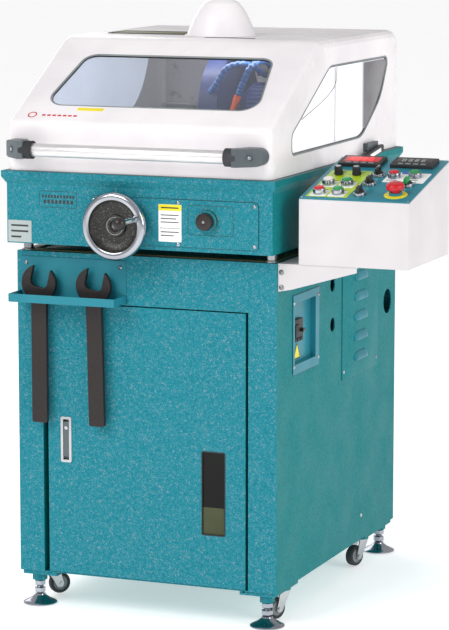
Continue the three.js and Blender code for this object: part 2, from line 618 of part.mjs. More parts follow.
// ---------------------------------------------------------------- handwheel, crank and knob
const crankAt = {
  x: WHEEL.x + CRANK.radius * Math.cos(CRANK.angle * DEG),
  z: WHEEL.z + CRANK.radius * Math.sin(CRANK.angle * DEG),
};
function handwheel() {
  const { rimR, rimInner, front, rimDepth, webFront, webThick, hubR, hubFront, shaftR, shaftEnd } = WHEEL;
  const back = front + rimDepth;
  const body = turnedAlongY([
    [0, hubFront], [hubR - 2, hubFront], [hubR, hubFront + 2], [hubR, webFront], [rimInner, webFront - 4],
    [rimInner, front + 3], [rimInner + 3, front], [rimR - 5, front], [rimR - 1, front + 5],
    [rimR, front + 12], [rimR - 1, back - 4], [rimR - 6, back], [rimInner + 4, back],
    [rimInner, webFront + webThick], [hubR, webFront + webThick], [hubR - 4, coverFront - 4 - GAP],
    [0, coverFront - 4 - GAP],
  ], WHEEL.x, WHEEL.z, 36);
  const boss = rod('y', crankAt.x, crankAt.z, front + 1, webFront + 1, CRANK.bossR);
  const bolt = rod('y', crankAt.x, crankAt.z, front - 6, front + 2, CRANK.boltR, 16);
  const shaft = rod('y', WHEEL.x, WHEEL.z, coverFront - 5 - GAP, shaftEnd, shaftR);
  return join(body, boss, bolt, shaft);
}
add('handwheel', handwheel(), FINISH.black);

function crankHandle() {
  const base = WHEEL.front - GAP;
  const ballY = base - CRANK.reach;
  const neck = ballY + Math.sqrt(CRANK.ballR ** 2 - CRANK.neckR ** 2);
  const ball = [];
  const startAngle = Math.asin(CRANK.neckR / CRANK.ballR);
  for (let k = 0; k <= 9; k += 1) {
    const t = Math.PI - startAngle - ((Math.PI - startAngle) * (9 - k)) / 9;
    ball.push([k === 0 ? 0 : CRANK.ballR * Math.sin(t), ballY - CRANK.ballR * Math.cos(t)]);
  }
  const profile = [...ball, [CRANK.neckR, neck + 2], [CRANK.neckR + 0.8, (neck + base) / 2],
    [CRANK.baseR, base - 12], [CRANK.baseR, base], [0, base]];
  return cut(turnedAlongY(profile, crankAt.x, crankAt.z, 18),
    rod('y', crankAt.x, crankAt.z, base - 7, base + 1, CRANK.boltR + RUN, 16));
}
add('crank_handle', crankHandle(), FINISH.chrome);

add('adjusting_knob', turnedAlongY([
  [0, KNOB.front], [KNOB.r - 6, KNOB.front], [KNOB.r - 2, KNOB.front + 1.5], [KNOB.r, KNOB.front + 5],
  [KNOB.r, KNOB.back + 1 - GAP], [KNOB.shaftR, KNOB.back + 1 - GAP], [KNOB.shaftR, KNOB.shaftEnd], [0, KNOB.shaftEnd],
], KNOB.x, KNOB.z), FINISH.black);

// ---------------------------------------------------------------- work table and cutting head
function workTable() {
  const { left, right, near, far, bottom, top, saddleHalf, slotW, slotD, slotPitch, nutHalf } = TABLE;
  const saddle = block(WHEEL.x - saddleHalf, WHEEL.x + saddleHalf, near + 60, far - 60, BED.deckTop + GAP, bottom + 1);
  const nut = block(WHEEL.x - nutHalf, WHEEL.x + nutHalf, near + 90, near + 130,
    WHEEL.z + 22, BED.deckTop + 1);
  const slots = [-1, 0, 1].map((i) => {
    const x = (left + right) / 2 + i * slotPitch;
    return join(
      block(x - slotW / 2, x + slotW / 2, near - 1, far + 1, top - slotD, top + 1),
      block(x - slotW, x + slotW, near - 1, far + 1, top - slotD - 7, top - slotD + 0.01),
    );
  });
  return cut(join(block(left, right, near, far, bottom, top), saddle, nut), ...slots);
}
add('work_table', workTable(), FINISH.steel);

function spindleHead() {
  const { y, z, motorR, motorLeft, motorRight, arborR, arborEnd } = SPINDLE;
  const motor = join(
    rod('x', y, z, motorLeft + 26, motorRight, motorR, 32),
    rod('x', y, z, motorLeft, motorLeft + 27, motorR - 22, 32, motorR),
  );
  const foot = block(PEDESTAL.left, PEDESTAL.right, y - PEDESTAL.halfDepth, y + PEDESTAL.halfDepth,
    BED.deckTop + GAP, z - 28);
  return cut(join(motor, foot), rod('x', y, z, motorLeft - 1, arborEnd + 2, arborR + RUN));
}
add('spindle_head', spindleHead(), FINISH.blue);

function cuttingWheel() {
  const { y, z, arborR, arborEnd } = SPINDLE;
  return join(
    rod('x', y, z, CUT.x - CUT.thick / 2, CUT.x + CUT.thick / 2, CUT.r, 40),
    rod('x', y, z, CUT.x - CUT.flangeT, CUT.x + CUT.flangeT, CUT.flangeR, 24),
    rod('x', y, z, CUT.x - CUT.flangeT - 10, CUT.x, 15, 6),
    rod('x', y, z, CUT.x, arborEnd, arborR),
  );
}
add('cutting_wheel', cuttingWheel(), FINISH.abrasive);

function wheelGuard() {
  const { y, z } = SPINDLE;
  const lower = z + GUARD.cutBelow;
  const shell = cut(
    rod('x', y, z, GUARD.left, GUARD.right, GUARD.r, 36),
    rod('x', y, z, GUARD.left + GUARD.wall, GUARD.right - GUARD.wall, GUARD.r - GUARD.wall, 36),
    rod('x', y, z, GUARD.right - GUARD.wall - 1, GUARD.right + 1, 24),
    block(GUARD.left - 1, GUARD.right + 1, y - GUARD.r - 1, y + GUARD.r + 1, z - GUARD.r - 1, lower),
  );
  const bracket = cut(
    block(GUARD.right - 1, SPINDLE.motorLeft - GAP, y + 42, y + 70, lower, z + 30),
    rod('x', y, z, GUARD.right - 2, SPINDLE.motorLeft + 1, 24),
  );
  return join(shell, bracket);
}
add('wheel_guard', wheelGuard(), FINISH.blue);

// ---------------------------------------------------------------- hood
const slope = Math.atan2(HOOD.top - HOOD.apronTop, HOOD.slopeTopY - HOOD.front);

/** The hood's side outline, moved in by an even distance. */
function hoodOutline(inset) {
  const kneeShift = inset * Math.tan((Math.PI / 2 - slope) / 2);
  const topShift = inset * Math.tan(slope / 2);
  return outline([
    [HOOD.front + inset, BED.deckTop],
    [HOOD.back - inset, BED.deckTop],
    [HOOD.back - inset, HOOD.top - inset, HOOD.backRound - inset],
    [HOOD.slopeTopY + topShift, HOOD.top - inset, HOOD.kneeRound],
    [HOOD.front + inset, HOOD.apronTop - kneeShift, HOOD.frontRound],
  ]);
}

/** Put a solid drawn in (across, up the slope, out of it) onto the sloping front. */
const onSlope = (body) => placed(body, [0, HOOD.front, HOOD.apronTop], [slope / DEG, 0, 0]);

const frontPaneOutline = (grow) => outline([
  [FRONT_PANE.shift - FRONT_PANE.lowHalf - grow, FRONT_PANE.low - grow, FRONT_PANE.lowRound + grow],
  [FRONT_PANE.shift + FRONT_PANE.lowHalf + grow, FRONT_PANE.low - grow, FRONT_PANE.lowRound + grow],
  [FRONT_PANE.shift + FRONT_PANE.highHalf + grow, FRONT_PANE.high + grow, FRONT_PANE.highRound + grow],
  [FRONT_PANE.shift - FRONT_PANE.highHalf - grow, FRONT_PANE.high + grow, FRONT_PANE.highRound + grow],
]);
const sidePaneOutline = (grow) => outline(SIDE_PANE.map(
  ([y, z, radius, alongY, alongZ]) => [y + grow * alongY, z + grow * alongZ, radius + grow]));

/** The moving half of a rear hinge: a sleeve with an arm to the hood's back wall. */
function hingeSleeve(x) {
  const half = HINGE.sleeveL / 2;
  return cut(
    join(
      rod('x', HINGE.y, HINGE.z, x - half, x + half, HINGE.sleeveR),
      block(x - half, x + half, HOOD.back - 2, HINGE.y, HINGE.z + 2, HINGE.z + 8),
      block(x - half, x + half, HOOD.back - 2, HOOD.back + 3, HINGE.z + 2, HINGE.z + 60),
    ),
    rod('x', HINGE.y, HINGE.z, x - half - 1, x + half + 1, HINGE.pinR + RUN),
  );
}

function hoodShell() {
  const { halfWidth, wall, edge, bottom, top } = HOOD;
  const below = block(-halfWidth - 1, halfWidth + 1, HOOD.front - 1, HOOD.back + 1, BED.deckTop - 1, bottom);
  const outer = extrudeX(hoodOutline(0), -halfWidth, halfWidth, edge);
  const inner = extrudeX(hoodOutline(wall), -halfWidth + wall, halfWidth - wall, edge - wall);
  const frontCut = onSlope(extrudeZ(frontPaneOutline(0), -30, 30));
  const sideCut = extrudeX(sidePaneOutline(0), -halfWidth - 10, halfWidth + 10);
  const domeCut = rod('z', DOME.x, DOME.y, top - 20, top + 20, DOME.r - 14, 32);
  return join(
    cut(outer, below, inner, frontCut, sideCut, domeCut),
    hingeSleeve(-HINGE.x),
    hingeSleeve(HINGE.x),
  );
}
add('hood_shell', hoodShell(), FINISH.white);

const glassOut = -HOOD.wall - GAP;
add('front_window', onSlope(extrudeZ(frontPaneOutline(GLASS.lap), glassOut - GLASS.thick, glassOut)), FINISH.glass);
const glassSide = HOOD.halfWidth - HOOD.wall - GAP;
add('side_window_right', extrudeX(sidePaneOutline(GLASS.lap), glassSide - GLASS.thick, glassSide), FINISH.glass);
add('side_window_left', extrudeX(sidePaneOutline(GLASS.lap), -glassSide, -glassSide + GLASS.thick), FINISH.glass);

function domeProfile(inset) {
  const r = DOME.r - inset;
  const z = HOOD.top + GAP;
  const h = DOME.height - inset;
  return [
    [r, z + (inset ? -5 : 0)], [r * 0.985, z + h * 0.08], [r * 0.865, z + h * 0.36], [r * 0.77, z + h * 0.55],
    [r * 0.66, z + h * 0.72], [r * 0.52, z + h * 0.875], [r * 0.34, z + h * 0.97], [r * 0.2, z + h],
  ];
}
function roofDome() {
  const z = HOOD.top + GAP;
  const outer = turned([[0, z], ...domeProfile(0), [0, z + DOME.height]], DOME.x, DOME.y, 32);
  const flange = rod('z', DOME.x, DOME.y, z, z + DOME.flangeH, DOME.flangeR, 44);
  const hollow = turned([[0, z - 5], ...domeProfile(DOME.wall), [0, z + DOME.height - DOME.wall]], DOME.x, DOME.y, 32);
  return cut(join(outer, flange), hollow);
}
add('roof_dome', roofDome(), FINISH.white);

// ---------------------------------------------------------------- grab bar
add('grab_bar', cut(
  rod('x', BAR.y, BAR.z, -BAR.half, BAR.half, BAR.r),
  rod('x', BAR.y, BAR.z, -BAR.half - 1, BAR.half + 1, BAR.bore),
), FINISH.chrome);

/** One end bracket, drawn for the right side; the left one is its mirror image. */
function barEnd(sign) {
  const h = BAR_END.height / 2;
  const base = HOOD.front - GAP;
  const plan = outline([
    [BAR.socketOut - 6, BAR.y - h + 1, 3], [BAR.socketOut + 6, BAR.y - h, 8], [BAR_END.out - 8, base - 26, 10],
    [BAR_END.out, base - 10, 3], [BAR_END.out, base], [BAR.socketOut + 12, base], [BAR.socketOut - 6, BAR.y + 10, 4],
  ]);
  const stadium = rectangle(BAR.socketIn - 20, BAR_END.out, BAR.z - h, BAR.z + h, h - 0.5);
  const right = cut(
    join(
      rod('x', BAR.y, BAR.z, BAR.socketIn, BAR.socketOut, BAR.socketR),
      extrudeZ(plan, BAR.z - h, BAR.z + h).intersect(extrudeY(stadium, -200, 0)),
    ),
    rod('x', BAR.y, BAR.z, BAR.socketIn - 1, BAR.half + GAP, BAR.r + GAP),
  );
  return sign > 0 ? right : right.mirror([1, 0, 0]);
}
add('handle_end_left', barEnd(-1), FINISH.grey);
add('handle_end_right', barEnd(1), FINISH.grey);

// ---------------------------------------------------------------- hood interlock
const switchX = BED.width / 2 + BED.overhang + GAP;
add('interlock_switch', placed(
  extrudeX(rectangle(-SWITCH.length / 2, SWITCH.length / 2, -SWITCH.height / 2, SWITCH.height / 2, 5),
    switchX, switchX + SWITCH.thick),
  [0, SWITCH.y, SWITCH.z], [SWITCH.tilt, 0, 0],
), FINISH.black);
add('interlock_actuator', block(HOOD.halfWidth + GAP, HOOD.halfWidth + ACTUATOR.thick, ACTUATOR.near, ACTUATOR.far,
  ACTUATOR.bottom, ACTUATOR.top), FINISH.grey);

// ---------------------------------------------------------------- control desk
function controlArm() {
  const { rootBottom, kneeX, kneeZ, tipX, tipZ, top, sheet, back, y } = ARM;
  const web = outline([
    [sideFace, rootBottom], [kneeX, kneeZ], [tipX, tipZ], [tipX, top], [sideFace, top],
  ]);
  return join(
    extrudeY(web, y, y + sheet),
    block(sideFace, tipX, y, back, top - sheet, top),
    block(sideFace, sideFace + sheet, y, back, rootBottom, top),
  );
}
add('control_arm', controlArm(), FINISH.white);

function controlBox() {
  const { left, right, depth, bottom, front, rise, sheet } = DESK;
  const outer = extrudeX(outline([[0, bottom], [depth, bottom], [depth, front + rise], [0, front]]), left, right);
  const inner = extrudeX(outline([
    [sheet, bottom + sheet], [depth - sheet, bottom + sheet], [depth - sheet, front + rise + 5], [sheet, front + 5],
  ]), left + sheet, right - sheet);
  return cut(outer, inner);
}
add('control_box', controlBox(), FINISH.white);

const panelTilt = Math.atan2(DESK.rise, DESK.depth);
const panelLength = Math.hypot(DESK.rise, DESK.depth);
const panelWidth = DESK.right - DESK.left;
const panelTop = GAP + PANEL.thick;
/** Put a solid drawn in (across, up the desk, out of it) onto the sloping desk top. */
const onDesk = (body) => placed(body, [DESK.left, 0, DESK.front], [panelTilt / DEG, 0, 0]);
const shared = { bezel: (x, y, h, r = PANEL.bezelR) => rod('z', x, y, panelTop - 1, panelTop + h, r) };

function controlPanel() {
  const collars = [
    ...Object.values(BUTTONS).map(([x, y]) => shared.bezel(x, y, PANEL.tall)),
    ...Object.values(SELECTORS).map(([x, y]) => shared.bezel(x, y, PANEL.low)),
    ...Object.values(POTS).map(([x, y]) => shared.bezel(x, y, 1.5, PANEL.post)),
    shared.bezel(STOP.x, STOP.y, 2.5, STOP.plateR),
    shared.bezel(STOP.x, STOP.y, STOP.collarH, STOP.collarR),
  ];
  const housings = DISPLAYS.map(({ left, right, near, far }) => block(left, right, near, far, panelTop - 1, panelTop + 9));
  const seats = [...Object.values(BUTTONS), ...Object.values(SELECTORS), [STOP.x, STOP.y]];
  const bores = [
    ...seats.map(([x, y]) => rod('z', x, y, -5, 40, PANEL.boreR)),
    ...Object.values(POTS).map(([x, y]) => rod('z', x, y, -5, 40, 3 + RUN, 16)),
  ];
  return onDesk(cut(join(block(0, panelWidth, 0, panelLength, GAP, panelTop), ...collars, ...housings), ...bores));
}
add('control_panel', controlPanel(), FINISH.teal);

const buttonBody = (x, y) => join(
  rod('z', x, y, -8, panelTop + PANEL.tall + 1.5, PANEL.buttonR),
  rod('z', x, y, panelTop + PANEL.tall + 1.49, panelTop + PANEL.tall + 3.5, PANEL.buttonR, 16, PANEL.buttonR - 2),
);
for (const [name, [x, y, colour]] of Object.entries(BUTTONS)) add(name, onDesk(buttonBody(x, y)), FINISH[colour]);

const selectorBody = (x, y) => {
  const base = panelTop + PANEL.low + 0.6;
  return join(
    rod('z', x, y, -8, base + 2, PANEL.buttonR),
    extrudeZ(rectangle(x - 4.5, x + 4.5, y - 14, y + 13, 4), base, base + 14),
  );
};
for (const [name, [x, y, colour]] of Object.entries(SELECTORS)) add(name, onDesk(selectorBody(x, y)), FINISH[colour]);

const potBody = (x, y) => join(
  rod('z', x, y, -8, panelTop + 4, 3, 16),
  rod('z', x, y, panelTop + 1.5 + GAP, panelTop + 6, 10.5),
  rod('z', x, y, panelTop + 5, panelTop + 21, 9.5, 16, 8.2),
);
for (const [name, [x, y]] of Object.entries(POTS)) add(name, onDesk(potBody(x, y)), FINISH.black);

const stopBase = panelTop + STOP.collarH + 7;
add('emergency_stop', onDesk(turned([
  [0, -8], [PANEL.buttonR, -8], [PANEL.buttonR, stopBase - 1], [STOP.r - 2, stopBase], [STOP.r, stopBase + 3],
  [STOP.r, stopBase + 9], [STOP.r - 3, stopBase + 13], [STOP.r - 9, stopBase + 14.5], [0, stopBase + 15],
], STOP.x, STOP.y, 20)), FINISH.red);

// ---------------------------------------------------------------- place the origin
// The origin is the centre of the overall footprint, on the floor.
const bounds = new THREE.Box3().setFromObject(machine, true);
machine.position.set(-(bounds.min.x + bounds.max.x) / 2, -(bounds.min.y + bounds.max.y) / 2, -bounds.min.z);
const part = new THREE.Group();
part.add(machine);

export default part;
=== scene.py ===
"""Visual model of a cabinet-mounted wet cut-off machine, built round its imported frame.

Sizes in the classes are millimetres from the datum: x from the cabinet's middle, y back from the
cabinet's front, z up from the floor. Datum.metres turns them into the frame's metres.
"""
import json
import logging
import math
from dataclasses import dataclass, field
from enum import Enum
from typing import Any, Sequence

import bmesh
import bpy
import numpy as np
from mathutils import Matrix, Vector


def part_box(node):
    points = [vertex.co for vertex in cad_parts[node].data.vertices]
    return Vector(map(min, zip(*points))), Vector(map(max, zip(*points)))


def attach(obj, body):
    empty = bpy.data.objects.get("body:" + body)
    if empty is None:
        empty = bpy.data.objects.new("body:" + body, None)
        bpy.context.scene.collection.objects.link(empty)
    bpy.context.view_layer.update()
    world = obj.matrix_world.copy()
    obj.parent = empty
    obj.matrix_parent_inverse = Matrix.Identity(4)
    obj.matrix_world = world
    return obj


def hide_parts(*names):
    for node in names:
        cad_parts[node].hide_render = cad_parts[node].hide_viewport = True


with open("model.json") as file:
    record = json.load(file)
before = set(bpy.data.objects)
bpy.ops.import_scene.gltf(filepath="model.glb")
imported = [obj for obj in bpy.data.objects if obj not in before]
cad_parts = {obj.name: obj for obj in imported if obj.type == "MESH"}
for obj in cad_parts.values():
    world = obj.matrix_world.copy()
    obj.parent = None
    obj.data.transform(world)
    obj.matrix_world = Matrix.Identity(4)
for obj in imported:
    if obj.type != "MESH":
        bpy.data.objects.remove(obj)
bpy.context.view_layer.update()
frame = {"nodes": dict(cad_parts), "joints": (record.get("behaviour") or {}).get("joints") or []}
LOG = logging.getLogger("machine")
Points = Sequence[Sequence[float]]


# ------------------------------------------------------------------ finishes
class Surface(Enum):
    """How a finish's surface was made."""

    HAMMERTONE = "sprayed hammertone enamel"
    ENAMEL = "sprayed gloss enamel"
    POLISHED = "plated or polished metal"
    BRUSHED = "ground or drawn metal"
    CAST = "rough casting"
    MOULDED = "moulded plastic"
    CLEAR = "clear sheet"
    PRINTED = "printed film"


@dataclass(frozen=True)
class Finish:
    """One real material.

    base and second are sRGB hex colours, grain_mm the size of the pattern, relief the bump's
    strength, slot the record's material slot it belongs to.
    """

    name: str
    surface: Surface
    base: str
    second: str
    slot: str
    roughness: float = 0.4
    metallic: float = 0.0
    grain_mm: float = 1.0
    relief: float = 0.1
    alpha: float = 1.0
    glow: float = 0.0


# Hammertone enamel: leafing aluminium pigment pulls the wet film into grey cells on teal. Front faces show the grey
# cells with a painted sheen; side faces get a plain deeper teal.
HAMMERTONE_TEAL = Finish("hammertone_enamel_teal", Surface.HAMMERTONE, "#248593", "#7f98a6", "teal_paint",
                         0.42, 0.0, 2.4, 0.3)
# The same enamel on small pressed parts, where the film is thin and the cells barely form.
TEAL_ENAMEL = Finish("enamel_teal", Surface.ENAMEL, "#2a8696", "#20798a", "teal_paint", 0.34, 0.0, 9.0, 0.08)
# Gloss white enamel on sheet steel: a faint orange peel breaks the reflections.
# Textured white powder coat on the desk's folded sheet: a shade duller than the moulded hood.
DESK_COAT = Finish("powder_coat_white", Surface.ENAMEL, "#dcd8da", "#d4d0d2", "white_paint", 0.5, 0.0, 1.6, 0.12)
WHITE_ENAMEL = Finish("enamel_white", Surface.ENAMEL, "#f6f2f4", "#ece7ea", "white_paint", 0.24, 0.0, 6.0, 0.05)
BLUE_ENAMEL = Finish("enamel_blue", Surface.ENAMEL, "#333c66", "#252d54", "blue_paint", 0.4, 0.0, 5.0, 0.1)
# Nickel-chrome plate over steel: near mirror with faint polishing haze.
CHROME = Finish("chrome_plate", Surface.POLISHED, "#bfc2c8", "#9a9da6", "chrome", 0.16, 1.0, 14.0, 0.02)
# Drawn aluminium tube, satin anodised: fine lines along the tube.
ANODISED = Finish("anodised_aluminium", Surface.BRUSHED, "#f1efef", "#dcd8d9", "chrome", 0.36, 0.7, 1.2, 0.05)
ZINC = Finish("zinc_plated_steel", Surface.POLISHED, "#c4c6c8", "#8f9296", "steel", 0.3, 1.0, 5.0, 0.06)
GROUND_STEEL = Finish("ground_steel", Surface.BRUSHED, "#a9abad", "#808388", "steel", 0.32, 1.0, 1.6, 0.1)
BLACKENED = Finish("blackened_forged_steel", Surface.CAST, "#2c2626", "#4a4040", "blackened_steel",
                   0.46, 0.35, 2.6, 0.3)
# Cast iron dish of the handwheel under a wrinkled black stove enamel; the pale grey on the wrinkles' high spots is
# painted highlight.
WRINKLE_BLACK = Finish("wrinkle_enamel_black", Surface.CAST, "#24231f", "#8f9188", "black_plastic",
                       0.4, 0.1, 3.2, 0.6)
BLACK_PHENOLIC = Finish("phenolic_black", Surface.MOULDED, "#1b1614", "#2e2723", "black_plastic",
                        0.28, 0.0, 4.0, 0.04)
BLACK_NYLON = Finish("nylon_black", Surface.MOULDED, "#1d1d20", "#2b2b2f", "black_plastic", 0.5, 0.0, 1.2, 0.1)
SMOKE_GREY = Finish("nylon_slate", Surface.MOULDED, "#5a6368", "#4d565b", "grey_plastic", 0.42, 0.0, 1.2, 0.08)
RUBBER = Finish("rubber_epdm", Surface.MOULDED, "#2a2c2f", "#37393d", "rubber", 0.72, 0.0, 1.4, 0.12)
GREY_RUBBER = Finish("rubber_grey", Surface.MOULDED, "#8d9394", "#7b8182", "rubber", 0.6, 0.0, 1.4, 0.08)
CLEAR_SHEET = Finish("polycarbonate_clear", Surface.CLEAR, "#dfe4ea", "#ccd3dc", "window", 0.06, 0.0, 60.0, 0.0,
                     0.07)
# The right side sheet is drawn milky, not see-through, with a faint glow that is painted light.
MILKY_SHEET = Finish("polycarbonate_milky_painted_glow", Surface.CLEAR, "#f8f8fa", "#eceef2", "window", 0.2, 0.0, 60.0, 0.0, 0.82,
                     0.3)
# The left side sheet: grey, with a glow that is painted light.
GREY_SHEET = Finish("polycarbonate_grey_painted_glow", Surface.CLEAR, "#b4bccb", "#a7afbe", "window", 0.2, 0.0, 60.0, 0.0, 0.9,
                    0.75)
# Flat grey: painted shade on the right side sheet's rear part, also used for the thin lines on that sheet.
SHADE_AND_LINE_GREY = Finish("painted_shade_and_line_grey", Surface.CLEAR, "#8b898c", "#6f6d71", "window", 0.2, 0.0, 60.0, 0.0)
# Stainless liner sheet, dulled and mottled by coolant.
LINER = Finish("stainless_liner", Surface.CAST, "#d6cfd3", "#a49da1", "steel", 0.5, 0.1, 30.0, 0.05)
# The door window drawn opaque and near black: painted shade of the dark cabinet inside.
DARK_PANE_PAINTED_SHADE = Finish("acrylic_dark_painted_shade", Surface.CLEAR, "#0a0d0a", "#111510", "window", 0.1, 0.0, 60.0, 0.0)
LEVEL_FILM = Finish("acrylic_olive", Surface.CLEAR, "#4a4f36", "#3c402a", "window", 0.12, 0.0, 60.0, 0.0)
BOND = Finish("resin_bonded_abrasive", Surface.CAST, "#4a443c", "#7a7164", "abrasive", 0.9, 0.0, 0.9, 0.6)
OLIVE_BRASS = Finish("brass_lacquered", Surface.BRUSHED, "#6e6a2c", "#55521f", "steel", 0.4, 0.8, 1.4, 0.08)
RED_CAP = Finish("abs_red", Surface.MOULDED, "#d01222", "#b80d1c", "red_plastic", 0.26, 0.0, 3.0, 0.02)
GREEN_CAP = Finish("abs_green", Surface.MOULDED, "#0f9d4c", "#0b8840", "green_plastic", 0.26, 0.0, 3.0, 0.02)
WHITE_CAP = Finish("abs_ivory", Surface.MOULDED, "#efece0", "#e2dfd2", "ivory_plastic", 0.28, 0.0, 3.0, 0.02)
YELLOW_FILM = Finish("vinyl_yellow", Surface.PRINTED, "#f4e21a", "#ead60f", "teal_paint", 0.35, 0.0, 8.0, 0.02)
LIME_FILM = Finish("vinyl_lime", Surface.PRINTED, "#b9d62b", "#a9cb23", "teal_paint", 0.35, 0.0, 8.0, 0.02)
WHITE_FILM = Finish("vinyl_white", Surface.PRINTED, "#fbfbfa", "#efefee", "white_paint", 0.35, 0.0, 8.0, 0.02)
GREY_FILM = Finish("vinyl_grey", Surface.PRINTED, "#b9c4c4", "#aab5b5", "teal_paint", 0.4, 0.0, 8.0, 0.02)
RED_FILM = Finish("vinyl_red", Surface.PRINTED, "#d2202c", "#bd1823", "red_plastic", 0.35, 0.0, 8.0, 0.02)
BLACK_FILM = Finish("vinyl_black", Surface.PRINTED, "#26292b", "#303436", "black_plastic", 0.4, 0.0, 8.0, 0.02)
BLUE_FILM = Finish("vinyl_blue", Surface.PRINTED, "#2f6db8", "#2862a8", "teal_paint", 0.4, 0.0, 8.0, 0.02)
# Dark olive as painted light: painted shade in the gap under the bed, painted reflection on the roof.
OLIVE_PAINTED_LIGHT = Finish("olive_painted_shade_and_reflection", Surface.MOULDED, "#6f7148", "#5d603b", "grey_plastic", 0.5, 0.0, 4.0, 0.05)
CREAM_TANK = Finish("polyethylene_cream", Surface.MOULDED, "#b3b083", "#a3a074", "ivory_plastic", 0.5, 0.0, 3.0, 0.08)
RED_LED = Finish("led_red", Surface.MOULDED, "#ff2a1a", "#ff2a1a", "red_plastic", 0.3, 0.0, 3.0, 0.0, 1.0, 2.5)
ORANGE_HOSE = Finish("acetal_orange", Surface.MOULDED, "#e2571b", "#cf4b12", "red_plastic", 0.35, 0.0, 3.0, 0.03)
HOSE_BLUE = Finish("acetal_blue", Surface.MOULDED, "#24569a", "#1d4a88", "blue_paint", 0.35, 0.0, 3.0, 0.03)
LAMP_WHITE = Finish("opal_diffuser", Surface.MOULDED, "#f3f5f2", "#e6e9e4", "white_paint", 0.4, 0.0, 3.0, 0.0, 1.0, 14.0)


def linear(hex_colour: str) -> tuple[float, float, float, float]:
    """Turns an sRGB hex colour into linear light.

    Args:
        hex_colour: a colour such as "#1f9aa2".

    Returns:
        Red, green, blue and an alpha of 1.
    """
    channels = np.array([int(hex_colour[i : i + 2], 16) for i in (1, 3, 5)]) / 255
    light = np.where(channels <= 0.04045, channels / 12.92, ((channels + 0.055) / 1.055) ** 2.4)
    return (*light.tolist(), 1.0)


def add_node(tree: bpy.types.NodeTree, kind: str, settings: dict[Any, Any] | None = None,
             links: dict[Any, Any] | None = None) -> bpy.types.Node:
    """Adds one shader node with its settings and its incoming links.

    Args:
        tree: the material's node tree.
        kind: the node's type name.
        settings: attribute or socket to value; sockets go by their name or number.
        links: input socket to the output socket that feeds it.

    Returns:
        The new node.
    """
    node = tree.nodes.new(kind)
    for key, value in (settings or {}).items():
        if isinstance(key, str) and hasattr(node, key):
            setattr(node, key, value)
        else:
            node.inputs[key].default_value = value
    for key, source in (links or {}).items():
        tree.links.new(source, node.inputs[key])
    return node


def ramp(tree: bpy.types.NodeTree, factor: bpy.types.NodeSocket, stops: Sequence[tuple[float, Any]]) -> Any:
    """Adds a colour ramp and returns its colour output; stops are (place, linear colour)."""
    node = add_node(tree, "ShaderNodeValToRGB", links={"Fac": factor})
    elements = node.color_ramp.elements
    while len(elements) < len(stops):
        elements.new(0.5)
    for element, (place, colour) in zip(elements, stops):
        element.position = place
        element.color = colour
    return node.outputs["Color"]


